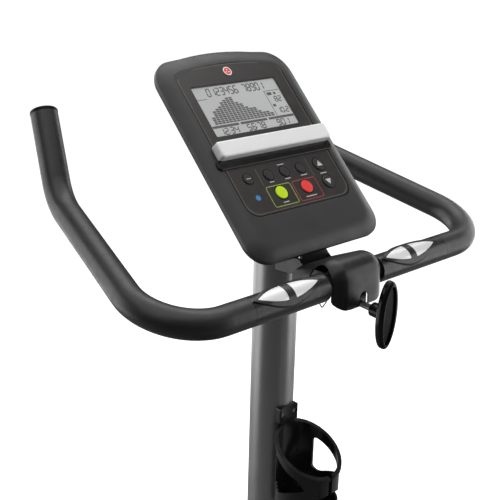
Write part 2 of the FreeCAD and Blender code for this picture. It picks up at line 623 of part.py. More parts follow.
def build_power_inlet():
    face = 401.5
    body = add_body("power_inlet", Placement(Vector(32, face, 190), Rotation(X_AXIS, -90)))
    pad(body, add_circle(add_sketch(body, lift="-2"), "8"), "2")
    pad(body, add_circle(add_sketch(body, lift="-18"), "6"), "17")
    pocket(body, add_circle(add_sketch(body), "2.8"), "10")


# ---------------------------------------------------------------- mast and cup holder
def build_mast():
    body = add_body("mast", MAST)
    tube = add_sketch(body, lift="-Dim.mast_foot")
    add_circle(tube, "Dim.mast_od / 2")
    add_circle(tube, "Dim.mast_od / 2 - Dim.mast_wall")
    pad(body, tube, "Dim.mast_foot + Dim.mast_head")
    slope = math.radians(dim.console_tilt - dim.mast_tilt)
    along = Vector(math.cos(slope), math.sin(slope), 0)
    across = Vector(-along.y, along.x, 0)
    start = Vector(0, 74.5, 0)
    corner = [start - along * 90, start + along * 90, start + along * 90 + across * 90,
              start - along * 90 + across * 90]
    cut = add_sketch(body, rounded_path(corner, [0] * 4, closed=True), "-60", "YZ_Plane")
    pocket(body, cut, "120", upward=True)


def cup_ring(outer, inner, low, high):
    centre = Vector(0, dim.cup_y, 0)
    return ring(outer, inner, centre + Vector(0, 0, low), centre + Vector(0, 0, high))


def build_bottle_cage():
    """Bottle cage: a scooped wall with an inclined brim and two side windows, on a low round cup."""
    outer = dim.cup_od / 2
    inner = outer - dim.cup_wall
    slope = math.tan(math.radians(dim.hoop_tilt))

    def brim(y):
        return dim.cup_top + slope * y

    reach = outer + 5
    scoop = [(-reach, brim(-reach)), (reach, brim(reach)), (reach, dim.cup_low), (-12, dim.cup_low),
             (-12, dim.cup_low + 24), (-reach, brim(-reach) - 19)]
    window = [(22.5, brim(22.5) - 15), (22.5, -306), (-27, -285), (-20, brim(-20) - 15)]
    wall = cup_ring(outer, inner, dim.cup_low, dim.cup_top + 40)
    shapes = []
    for points, radii, half in ((scoop, [0, 0, 0, 0, 20, 0], 60), (window, [4, 9, 3, 6], 60)):
        shape = prism(rounded_path(flat_points(points), radii, closed=True), -half, half, "X")
        shape.translate(Vector(0, dim.cup_y, 0))
        shapes.append(shape)
    wall = wall.common(shapes[0]).cut(shapes[1])
    lip_band = prism(rounded_path(flat_points([(-reach, brim(-reach) - 3), (reach, brim(reach) - 3),
                                               (reach, brim(reach)), (-reach, brim(-reach))]), [0] * 4, closed=True),
                     -60, 60, "X")
    lip_band.translate(Vector(0, dim.cup_y, 0))
    lip = cup_ring(outer + 2.4, inner, dim.cup_low, dim.cup_top + 60).common(lip_band)
    low_cup = cup_ring(outer, inner - 0.5, dim.cup_low, dim.cup_low + 26)
    floor = cup_ring(outer, 16, dim.cup_low, dim.cup_low + 3)
    face = -dim.mast_od / 2
    clip = block(-16, 16, face - 5.5, face + 4, -223, -201)
    clip = clip.makeFillet(2, [e for e in clip.Edges if e.BoundBox.XLength < 0.01 and e.CenterOfMass.y < face])
    spine = block(-8, 8, face - 3, face, dim.cup_low + 20, -210)
    cage = wall.fuse([lip, low_cup, floor, clip, spine])
    cage = cage.cut(rod(dim.mast_od / 2 + 0.1, Vector(0, 0, -500), Vector(0, 0, 0)))
    cage = cage.cut(block(-3.2, 3.2, dim.cup_y - 60, dim.cup_y, dim.cup_low + 26, dim.cup_top + 40))
    cage = cage.cut(cup_ring(inner, 1, dim.cup_low + 26, dim.cup_top + 60))
    for x in (-11, 11):
        cage = cage.cut(rod(2, Vector(x, face - 20, -211), Vector(x, face + 6, -211)))
        cage = cage.cut(rod(3.1, Vector(x, face - 20, -211), Vector(x, face - 2.2, -211)))
    add_shape("bottle_cage", cage, MAST)


# ---------------------------------------------------------------- handlebar
def bar_point(side, x, y, z):
    return BAR + Vector(side * x, y, z)


def grip_tip(side, short=0.0):
    tip = bar_point(side, dim.grip_tip_x, dim.grip_tip_y, dim.grip_tip_z)
    knee = bar_point(side, dim.grip_x, dim.grip_y, dim.grip_z)
    return tip + (knee - tip).normalize() * short


def half_bar(side, inner_x, short):
    points = [bar_point(side, inner_x, 0, 0), bar_point(side, dim.bar_corner_x, 0, 0),
              bar_point(side, dim.grip_x, dim.grip_y, dim.grip_z), grip_tip(side, short)]
    return rounded_path(points, [0, dim.lower_bend, dim.upper_bend, 0])


def build_handlebar():
    radius = dim.bar_tube_od / 2
    bore = radius - dim.bar_tube_wall
    halves = [pipe(half_bar(side, 0, 5), radius).cut(pipe(half_bar(side, 0, 5), bore)) for side in (-1, 1)]
    add_shape("handlebar_tube", halves[0].fuse(halves[1]).removeSplitter())
    foam = [pipe(half_bar(side, dim.sensor_end + 0.3, 5), dim.foam_od / 2).cut(
        pipe(half_bar(side, dim.sensor_end + 0.3, 5), radius + 0.05)) for side in (-1, 1)]
    add_shape("foam_grips", Part.makeCompound(foam))
    caps = []
    for side in (-1, 1):
        inward = (grip_tip(side, 5) - grip_tip(side)).normalize()
        cap = rod(dim.grip_cap_od / 2, grip_tip(side), grip_tip(side, 4.9))
        tip = [e for e in cap.Edges if e.Length > 100 and e.CenterOfMass.distanceToPoint(grip_tip(side)) < 0.1]
        cap = cap.makeFillet(3.2, tip)
        caps.append(cap.fuse(rod(bore - 0.05, grip_tip(side, 4), grip_tip(side, 5) + inward * 14)))
    add_shape("grip_end_caps", Part.makeCompound(caps))


def eye_prism(side, half_length, half_width):
    """An eye-shaped block that stands out of the bar, toward the rider and up."""
    ends = [Vector(-half_length, 0, 0), Vector(half_length, 0, 0)]
    outline = [Part.Arc(ends[0], Vector(0, half_width, 0), ends[1]),
               Part.Arc(ends[1], Vector(0, -half_width, 0), ends[0])]
    solid = prism(outline, 0, 40)
    middle = side * dim.sensor_mid + dim.sensor_shift
    solid.Placement = Placement(BAR + Vector(middle, 0, 0), Rotation(X_AXIS, dim.sensor_tilt))
    return solid


def build_sensors():
    sleeve = dim.foam_od / 2
    bases = []
    plates = []
    for side in (-1, 1):
        near = BAR + Vector(side * dim.sensor_start + dim.hood_shift, 0, 0)
        far = bar_point(side, dim.sensor_end, 0, 0)
        eye = ring(sleeve + 2.2, sleeve - 1, near, far).common(eye_prism(side, dim.sensor_half, 15.2))
        well = ring(sleeve + 3, sleeve + 1.2, near, far).common(eye_prism(side, dim.sensor_half - 5.5, 11.2))
        base = ring(sleeve, dim.bar_tube_od / 2 + 0.05, near, far).fuse(eye)
        pair = ring(sleeve + 1.9, sleeve + 0.7, near, far).common(eye_prism(side, dim.sensor_half - 7, 10.4))
        rib = block(-5.5, 5.5, -40, 40, -40, 40)
        rib.translate(BAR + Vector(side * dim.sensor_mid + dim.sensor_shift, 0, 0))
        pair = pair.cut(rib)
        bases.append(base.cut(well.cut(rib)).cut(pair))
        plates.extend(pair.Solids)
    add_shape("sensor_bases", Part.makeCompound(bases))
    add_shape("sensor_plates", Part.makeCompound(plates))


def build_bar_clamp():
    """The welded arm from the mast, its clamp ring and the two ears the bolt pulls together."""
    inner = dim.bar_tube_od / 2 + 0.05
    collar = rod(inner + 4.3, Vector(-25, 0, 0), Vector(25, 0, 0))
    profile = rounded_path(flat_points([(12, -5), (100, -9), (100, 13), (60, 13), (53, 7.3), (12, 7.3)]),
                           [0] * 6, closed=True)
    arm = prism(profile, -25, 25, "X").cut(block(-22.5, 22.5, 20, 110, -4.5, 30))
    ears = [block(-14, 14, y, y + 8, -33, -11) for y in (-13, 5)]
    clamp = collar.fuse([arm] + ears)
    clamp = clamp.cut(rod(inner, Vector(-30, 0, 0), Vector(30, 0, 0)))
    clamp = clamp.cut(block(-30, 30, -5, 5, -40, -6))
    clamp.translate(BAR)
    bolt_way = rod(4.05, Vector(0, -60, 0), Vector(0, 40, 0))
    bolt_way.Placement = STEM
    add_shape("bar_clamp", clamp.cut(bolt_way).cut(mast_rod(dim.mast_od / 2 + 0.02, -200, 200)))


def cover_solid(shrink):
    """The hood over the clamp: rounded from the side, the front and above, and open behind."""
    w = shrink
    half = dim.cover_half - w
    low = dim.cover_low - (30 if shrink else 0)
    back = dim.cover_back + (10 if shrink else 0)
    front, top = dim.cover_front + w, dim.cover_top - w
    fall = 0.41
    foot = (back, low) if shrink else (back, -12)
    side_view = flat_points([(front, low), (front, top), (5, top), (back, top - fall * (back - 5)), foot, (24, low)])
    body = prism(rounded_path(side_view, [0, 21 - w, 14, 0, 0, 0], closed=True), -60, 60, "X")
    plan = flat_points([(-half, front), (half, front), (half, 20), (half - 6, back), (6 - half, back), (-half, 20)])
    body = body.common(prism(rounded_path(plan, [15 - w, 15 - w, 30, 0, 0, 30], closed=True), -90, 60))
    foot_round = 0 if shrink else 13
    end_view = flat_points([(-half, low), (half, low), (half, top), (-half, top)])
    end_solid = prism(rounded_path(end_view, [foot_round, foot_round, 21 - w, 21 - w], closed=True), -90, 90)
    end_solid.Placement = Placement(Vector(), Rotation(X_AXIS, 90))
    return body.common(end_solid)


def build_bar_cover():
    cover = cover_solid(0).cut(cover_solid(2.2))
    arch = rod(15.5, Vector(-60, 4.5, 7.5), Vector(60, 4.5, 7.5)).fuse(
        [block(-60, 60, -11, 20, -90, 7.5), rod(13.4, Vector(-60, 0, 0), Vector(60, 0, 0))])
    stem_slot = rod(7.5, Vector(0, -40, -18.5), Vector(0, -8, -18.5)).fuse(block(-7.5, 7.5, -40, -8, -60, -18.5))
    stem_slot.translate(Vector(-dim.hood_shift, 0, 0))
    cover = cover.cut(arch.cut(block(-34, 34, -60, 60, -90, 60))).cut(stem_slot)
    add_shape("bar_cover", cover, Placement(BAR + Vector(dim.hood_shift, 0, 0), Rotation()))


def build_knob():
    """Oval paddle with a raised rim, on the long bolt through the clamp ears."""
    facing = STEM * Placement(Vector(0, -dim.knob_reach, 0), Rotation(X_AXIS, 90))
    body = add_body("clamp_knob", facing)
    tall = dim.knob_tall / 2
    wide = dim.knob_w / 2

    def oval(margin, lift):
        curve = Part.Ellipse(Vector(0, tall - margin, 0), Vector(wide - margin, 0, 0), Vector())
        return add_sketch(body, [curve], lift)

    paddle = pad(body, oval(0, "-Dim.knob_thick / 2"), "Dim.knob_thick")
    dress("Fillet", body, paddle, lambda e: e.BoundBox.ZLength < 0.01 and e.Length > 50, "4.4")
    dish = pocket(body, oval(6, "Dim.knob_thick / 2"), "2.8")
    rim = dim.knob_thick / 2
    dress("Fillet", body, dish, lambda e: edge_at(rim)(e) and e.BoundBox.YLength < dim.knob_tall - 11, "0.9")
    pad(body, add_circle(add_sketch(body, lift="-20"), "8.5"), "17")
    pocket(body, add_circle(add_sketch(body, lift="-21"), "4.02"), "19", upward=True)
    bolt = doc.addObject("Part::Cylinder", "clamp_bolt")
    bolt.Radius = 4
    bolt.setExpression("Height", "Dim.knob_reach + 16")
    place(bolt, "clamp_bolt", STEM * Placement(Vector(0, 2.5 - dim.knob_reach, 0), Rotation(X_AXIS, -90)))


# ---------------------------------------------------------------- console
def console_outline(margin, low=None):
    half = dim.console_half - margin
    bottom = dim.console_low + margin if low is None else low
    shoulder = dim.console_shoulder - margin
    top = dim.console_top - margin
    corner = 30 - margin * 0.5
    edge = 34 - margin * 0.5
    crown = top + (top - shoulder) * 0.2
    crown_radius = 0.6 * half / math.tan(math.atan2(crown - shoulder, half))
    points = flat_points([(-half, bottom), (half, bottom), (half, shoulder), (0, crown), (-half, shoulder)])
    return rounded_path(points, [corner, corner, edge, crown_radius, edge], closed=True)


def panel_outline(margin, low, high):
    half = dim.panel_half - margin
    points = flat_points([(-half, low + margin), (half, low + margin), (half, high - 8 - margin),
                          (0, high + 1.5 - margin), (-half, high - 8 - margin)])
    return rounded_path(points, [16, 16, 20, 500, 20], closed=True)


KEYS = {
    "button_enter": (-61, 100.5, "key_small"), "button_program_a": (-28.5, 100.5, "key_small"),
    "button_program_b": (-2, 100.5, "key_small"), "button_program_c": (25.5, 100.5, "key_small"),
    "button_level_up": (58, 100.5, "key_big"), "button_level_down": (58, 74.5, "key_big"),
    "button_start": (-23.5, 74.5, "key_big"), "button_stop": (19.5, 74.5, "key_big"),
}


def display_window(margin):
    u, v = dim.display_u, dim.display_v
    half_w = dim.display_w / 2 + margin
    half_t = dim.display_tall / 2 + margin
    return box_outline(u - half_w, u + half_w, v - half_t, v + half_t, 2.5)


def build_console_front():
    body = add_body("console_front", CONSOLE)
    block_pad = pad(body, add_sketch(body, console_outline(0), "-Dim.console_rim"), "Dim.console_rim + Dim.face_lift")
    band = [f"Edge{i}" for i, e in enumerate(block_pad.Shape.Edges, start=1) if edge_at(dim.face_lift)(e)]
    slope = body.newObject("PartDesign::Chamfer", "console_front_slope")
    slope.Base = (block_pad, band)
    slope.ChamferType = 1
    slope.setExpression("Size", "Dim.face_lift - 0.6")
    slope.setExpression("Size2", "Dim.face_slope")
    doc.recompute()
    if abs(min(e.CenterOfMass.x for e in slope.Shape.Edges if edge_at(dim.face_lift)(e)) + dim.console_half) < 12:
        slope.FlipDirection = True
        doc.recompute()
    dress("Fillet", body, slope, edge_at(dim.face_lift), "2.5")
    pocket(body, add_sketch(body, panel_outline(0, dim.panel_low, dim.panel_top), "Dim.face_lift"), "0.6")
    deep = add_sketch(body, console_outline(dim.face_slope + 4), "-Dim.console_rim")
    pocket(body, deep, "Dim.console_rim + Dim.face_lift - 0.6 - Dim.skin", upward=True)
    shallow = add_sketch(body, console_outline(3), "-Dim.console_rim")
    pocket(body, shallow, "Dim.console_rim - Dim.skin", upward=True)
    pocket(body, add_sketch(body, display_window(1.0), "Dim.face_lift"))
    holes = add_sketch(body, lift="Dim.face_lift")
    for u, v, size in KEYS.values():
        add_circle(holes, f"Dim.{size} + Dim.key_gap", u, v)
    pocket(body, holes)


def build_panel_overlay():
    """The thin inlay that frames the display and the keys."""
    body = add_body("panel_overlay", CONSOLE)
    pad(body, add_sketch(body, panel_outline(0.25, dim.panel_low, dim.panel_top), "Dim.face_lift - 0.55"), "0.55")
    pocket(body, add_sketch(body, display_window(0), "Dim.face_lift"))
    holes = add_sketch(body, lift="Dim.face_lift")
    for u, v, size in KEYS.values():
        add_circle(holes, f"Dim.{size} + Dim.key_gap", u, v)
    pocket(body, holes)


def build_display():
    panel = add_body("display_panel", CONSOLE)
    pad(panel, add_sketch(panel, display_window(-0.3), "Dim.face_lift - 4.5"), "2.8")
    lens = add_body("display_lens", CONSOLE)
    pad(lens, add_sketch(lens, display_window(-0.3), "Dim.face_lift - 1.6"), "1.2")
    board = add_body("console_board", CONSOLE)
    pad(board, add_sketch(board, box_outline(-78, 78, 62, 236, 4), "-5"), "1.6")


def build_reading_rack():
    body = add_body("reading_rack", CONSOLE)
    outline = box_outline(4.5 - dim.rack_half, dim.rack_half, dim.rack_v, dim.rack_v + dim.rack_tall, 4)
    bar = pad(body, add_sketch(body, outline, "Dim.face_lift + 0.05"), "Dim.rack_proud")
    dress("Fillet", body, bar, edge_at(dim.face_lift + 0.05 + dim.rack_proud), "2.5")


def build_keys():
    for name, (u, v, size) in KEYS.items():
        body = add_body(name, CONSOLE * Placement(Vector(u, v, 0), Rotation()))
        cap = pad(body, add_circle(add_sketch(body, lift="1.2"), f"Dim.{size}"), "Dim.face_lift + Dim.key_proud - 1.2")
        dress("Fillet", body, cap, edge_at(dim.face_lift + dim.key_proud), "0.7")


def build_console_back():
    """Rear shell: a shallow tray with a hump that takes in the head of the mast."""
    joint = -dim.console_rim - 0.3
    tray = prism(console_outline(10), -dim.shell_depth - 4, joint)
    tray = tray.makeFillet(4.5, [e for e in tray.Edges if edge_at(-dim.shell_depth - 4)(e)])
    tray = tray.fuse(prism(console_outline(1.2), joint - dim.skin, joint))
    hollow = prism(console_outline(12.6), -dim.shell_depth - 4 + dim.skin, joint + 1)
    hump = prism(box_outline(-50, 50, 46, 178, 16), -dim.hump_depth, -dim.shell_depth - 3)
    hump = hump.makeFillet(10, [e for e in hump.Edges if edge_at(-dim.hump_depth)(e)])
    wall = dim.skin
    floor = wall - dim.hump_depth
    hump_hollow = prism(box_outline(wall - 50, 50 - wall, 46 + wall, 178 - wall, 13.5), floor, joint)
    hump_hollow = hump_hollow.makeFillet(7.5, [e for e in hump_hollow.Edges if edge_at(floor)(e)])
    shell = tray.fuse(hump).cut(hollow).cut(hump_hollow)
    hole = rod(dim.mast_od / 2 + 0.3, Vector(0, 0, -300), Vector(0, 0, 300))
    hole.Placement = CONSOLE.inverse() * MAST
    add_shape("console_back", shell.cut(hole), CONSOLE)


def build_screws():
    """Small hardware: the wire clip on the clamp, the cage's screws and the console's and covers' own."""
    wire = [Vector(-25.8, 9, -13), Vector(-33.5, 6.5, -23.5), Vector(-40.8, 6, -28.4), Vector(-44.7, 6, -22.9)]
    wire = [BAR + point for point in wire]
    screws = [pipe(rounded_path(wire, [0, 4, 2, 0]), 0.7)]
    face = -dim.mast_od / 2
    for x in (-11, 11):
        cage = rod(3, Vector(x, face - 3.2, -211), Vector(x, face - 2.25, -211))
        cage = cage.fuse(rod(1.9, Vector(x, face - 2.5, -211), Vector(x, face - 0.6, -211)))
        cage.Placement = MAST
        screws.append(cage)
    for u, v in ((-88, 20), (88, 20), (-88, 250), (88, 250)):
        screw = rod(4, Vector(u, v, -dim.shell_depth - 6.2), Vector(u, v, -dim.shell_depth - 4.05))
        screw.Placement = CONSOLE
        screws.append(screw)
    for side in (-1, 1):
        for y, z in ((-140, 150), (330, 150), (330, 430), (-165, 500), (110, 150)):
            start = side * (dim.shroud_half + 0.05)
            screws.append(rod(4.5, Vector(start, y, z), Vector(start + side * 1.5, y, z)))
    add_shape("small_screws", Part.makeCompound(screws))


# ---------------------------------------------------------------- seat
def build_seat_post():
    shape = seat_rod(dim.post_od / 2, dim.post_low, dim.post_top)
    plate = block(-35, 35, -52, 52, 0, 4)
    plate.Placement = SEAT * Placement(Vector(0, 0, dim.post_top - 4), Rotation(X_AXIS, -dim.seat_lean))
    shape = shape.fuse(plate)
    bore = seat_rod(dim.post_od / 2 - dim.post_wall, dim.post_low - 5, dim.post_top - 8)
    shape = shape.cut(bore)
    for step in range(-3, 4):
        height = dim.pin_at + step * dim.hole_pitch
        hole = rod(dim.pin_hole / 2, Vector(0, 0, height), Vector(0, 30, height))
        hole.Placement = SEAT
        shape = shape.cut(hole)
    add_shape("seat_post", shape)


def build_seat_sleeve():
    body = add_body("seat_sleeve", SEAT)
    outer = add_sketch(body, lift="Dim.seat_tube_top - 120")
    pad(body, add_circle(outer, "Dim.seat_tube_od / 2 - 2.05"), "120")
    pad(body, add_circle(add_sketch(body, lift="Dim.seat_tube_top + 0.05"), "Dim.seat_tube_od / 2 + 2"), "7")
    pad(body, add_circle(add_sketch(body, lift="Dim.seat_tube_top - 2"), "Dim.seat_tube_od / 2 - 2.05"), "4")
    pocket(body, add_circle(add_sketch(body, lift="Dim.seat_tube_top + 20"), "Dim.post_od / 2 + 0.05"))
    way = add_sketch(body, role="XZ_Plane")
    add_circle(way, "Dim.pin_hole / 2 + 0.4", 0, dim.pin_at)
    pocket(body, way, "30", upward=False)


def build_seat_pin():
    """Spring pull pin with its knob, ahead of the seat tube."""
    reach = dim.post_od / 2 - 3
    pin = pin_rod(dim.pin_od / 2, reach, 52)
    knob = pin_rod(15, 48, 74)
    tips = [e for e in knob.Edges if e.Length > 80]
    knob = knob.makeFillet(5, tips)
    add_shape("seat_pin", pin.fuse(knob))


def saddle_outline(margin):
    """Plan of the saddle: a broad rear that narrows to a short nose."""
    half = dim.saddle_w / 2 - margin
    rear = dim.saddle_y - dim.saddle_len / 2 + margin
    nose = dim.saddle_y + dim.saddle_len / 2 - margin
    points = flat_points([(-half, rear), (half, rear), (half, rear + 130), (32 - margin, rear + 185),
                          (32 - margin, nose), (margin - 32, nose), (margin - 32, rear + 185),
                          (-half, rear + 130)])
    return rounded_path(points, [62, 62, 38, 48, 24, 24, 48, 38], closed=True)


def build_saddle():
    base = prism(saddle_outline(7), dim.saddle_z + 0.1, dim.saddle_z + 15)
    base = base.makeFillet(5, [e for e in base.Edges if edge_at(dim.saddle_z + 0.1)(e)])
    add_shape("saddle_base", base)
    low = dim.saddle_z + 15.3
    cushion = prism(saddle_outline(0), low, low + dim.pad_thick)
    cushion = cushion.makeFillet(18, [e for e in cushion.Edges if edge_at(low + dim.pad_thick)(e)])
    add_shape("saddle_pad", cushion)


def main():
    build_main_frame()
    build_floor_tube("front_stabilizer", dim.front_y)
    build_floor_tube("rear_stabilizer", dim.rear_y)
    build_end_caps()
    build_levelers_and_rollers()
    build_crank()
    build_pedal(-1, "left", 1)
    build_pedal(1, "right", -1)
    build_flywheel()
    build_belt()
    build_tensioner()
    build_brake()
    build_small_hardware()
    build_shrouds()
    build_mast_boot()
    build_power_inlet()
    build_mast()
    build_bottle_cage()
    build_handlebar()
    build_sensors()
    build_bar_clamp()
    build_bar_cover()
    build_knob()
    build_console_front()
    build_panel_overlay()
    build_display()
    build_reading_rack()
    build_keys()
    build_console_back()
    build_screws()
    build_seat_post()
    build_seat_sleeve()
    build_seat_pin()
    build_saddle()
    doc.recompute()
    for obj in doc.Objects:
        if "Invalid" in obj.State or "Error" in obj.State:
            raise RuntimeError(f"{obj.Label} did not recompute: {obj.State}")
    for obj in nodes:
        if obj.Shape.isNull() or not obj.Shape.isValid():
            raise RuntimeError(f"{obj.Label} has no valid shape")
        obj.Shape.exportStep(f"parts/{obj.Label}.step")


main()
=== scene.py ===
import json
import math

import bmesh
import bpy
from mathutils import Matrix, Vector
from mathutils.bvhtree import BVHTree
from mathutils.kdtree import KDTree


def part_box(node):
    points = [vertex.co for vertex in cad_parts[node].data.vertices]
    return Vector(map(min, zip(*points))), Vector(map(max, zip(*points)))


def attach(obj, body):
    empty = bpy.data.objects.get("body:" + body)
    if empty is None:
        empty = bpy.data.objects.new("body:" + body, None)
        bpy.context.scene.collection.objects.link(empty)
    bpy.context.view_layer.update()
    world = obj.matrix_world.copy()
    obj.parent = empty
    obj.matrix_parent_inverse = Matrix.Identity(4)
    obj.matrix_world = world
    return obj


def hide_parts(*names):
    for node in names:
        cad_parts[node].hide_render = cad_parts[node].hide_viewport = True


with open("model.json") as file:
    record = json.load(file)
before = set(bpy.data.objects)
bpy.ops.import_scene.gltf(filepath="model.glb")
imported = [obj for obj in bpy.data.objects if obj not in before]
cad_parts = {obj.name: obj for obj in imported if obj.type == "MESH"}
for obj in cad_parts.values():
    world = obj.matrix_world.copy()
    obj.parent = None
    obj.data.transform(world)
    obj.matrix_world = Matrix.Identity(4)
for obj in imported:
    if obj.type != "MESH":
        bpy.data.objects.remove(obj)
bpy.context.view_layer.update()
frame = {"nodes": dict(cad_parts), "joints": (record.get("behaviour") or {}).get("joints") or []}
nodes = frame["nodes"]
joints = {joint["name"]: joint for joint in frame["joints"]}

MM = 0.001
BAR = Vector(joints["handlebar_tilt"]["pos_m"])
AMBIENT = 0.14
POST_RADIUS = 0.01905
PANEL_LOW, PANEL_HIGH = 51, 264
DISPLAY_U, DISPLAY_V, DISPLAY_FACE = -2, 198, 6
LCD_TOP = 5.31


# ---------------------------------------------------------------- node helpers
class Tree:
    """A short way to add and link shader nodes."""

    def __init__(self, name):
        self.material = bpy.data.materials.new(name)
        self.material.use_nodes = True
        self.tree = self.material.node_tree
        self.shader = self.tree.nodes["Principled BSDF"]
        self.coords = self.add("ShaderNodeTexCoord").outputs["Object"]

    def add(self, kind, **settings):
        node = self.tree.nodes.new(kind)
        for name, value in settings.items():
            setattr(node, name, value)
        return node

    def link(self, output, target):
        self.tree.links.new(output, target)

    def noise(self, scale, detail=4.0, stretch=None):
        """Noise in metres; stretch scales the three axes to draw it out."""
        source = self.coords
        if stretch:
            mapping = self.add("ShaderNodeMapping")
            mapping.inputs["Scale"].default_value = stretch
            self.link(source, mapping.inputs["Vector"])
            source = mapping.outputs["Vector"]
        node = self.add("ShaderNodeTexNoise")
        node.inputs["Scale"].default_value = scale
        node.inputs["Detail"].default_value = detail
        self.link(source, node.inputs["Vector"])
        return node.outputs["Fac"]

    def cells(self, scale, feature="F1"):
        node = self.add("ShaderNodeTexVoronoi", feature=feature)
        node.inputs["Scale"].default_value = scale
        self.link(self.coords, node.inputs["Vector"])
        return node.outputs["Distance"]

    def ramp(self, source, low, high, low_at=0.3, high_at=0.7):
        """Two colours across a source."""
        node = self.add("ShaderNodeValToRGB")
        ends = node.color_ramp.elements
        ends[0].position, ends[1].position = low_at, high_at
        ends[0].color = (*low, 1)
        ends[1].color = (*high, 1)
        self.link(source, node.inputs["Fac"])
        return node.outputs["Color"]

    def span(self, source, low, high):
        """Maps a 0 to 1 source onto a range."""
        node = self.add("ShaderNodeMapRange")
        node.inputs["From Min"].default_value = 0.3
        node.inputs["From Max"].default_value = 0.7
        node.inputs["To Min"].default_value = low
        node.inputs["To Max"].default_value = high
        self.link(source, node.inputs["Value"])
        return node.outputs["Result"]

    def bump(self, source, strength, distance, below=None):
        node = self.add("ShaderNodeBump")
        node.inputs["Strength"].default_value = strength
        node.inputs["Distance"].default_value = distance
        self.link(source, node.inputs["Height"])
        if below is not None:
            self.link(below, node.inputs["Normal"])
        return node.outputs["Normal"]


def shade(color, amount):
    return tuple(max(0.0, min(1.0, channel * amount)) for channel in color)


def surface(name, color, rough, grain=1400.0, grain_depth=0.00004, patch=14.0, spread=0.12,
            rough_spread=0.06, metallic=0.0, coat=0.0, sheen=0.0, specular=0.5, stretch=None):
    """A moulded, painted or metal finish: cloudy colour, uneven gloss and a fine grain."""
    t = Tree(name)
    cloud = t.noise(patch, 5.0, stretch)
    t.link(t.ramp(cloud, shade(color, 1 - spread), shade(color, 1 + spread)), t.shader.inputs["Base Color"])
    t.link(t.span(t.noise(patch * 5, 3.0, stretch), rough - rough_spread, rough + rough_spread),
           t.shader.inputs["Roughness"])
    waves = t.bump(t.noise(patch * 1.7, 2.0), 0.15, 0.0004)
    t.link(t.bump(t.noise(grain, 2.0, stretch), 0.35, grain_depth, waves), t.shader.inputs["Normal"])
    t.shader.inputs["Metallic"].default_value = metallic
    t.shader.inputs["Coat Weight"].default_value = coat
    t.shader.inputs["Coat Roughness"].default_value = 0.08
    t.shader.inputs["Sheen Weight"].default_value = sheen
    t.shader.inputs["Specular IOR Level"].default_value = specular
    return t.material


def brushed(name, color, rough, stretch):
    """Metal drawn or brushed along one axis."""
    t = Tree(name)
    lines = t.noise(900.0, 3.0, stretch)
    t.link(t.ramp(lines, shade(color, 0.86), shade(color, 1.08)), t.shader.inputs["Base Color"])
    t.link(t.span(lines, rough - 0.07, rough + 0.09), t.shader.inputs["Roughness"])
    t.link(t.bump(lines, 0.25, 0.00003), t.shader.inputs["Normal"])
    t.shader.inputs["Metallic"].default_value = 1.0
    return t.material


PRINT_FINISH = (0.50, 2600, 0.00001, 60, 0.08, 0.05)


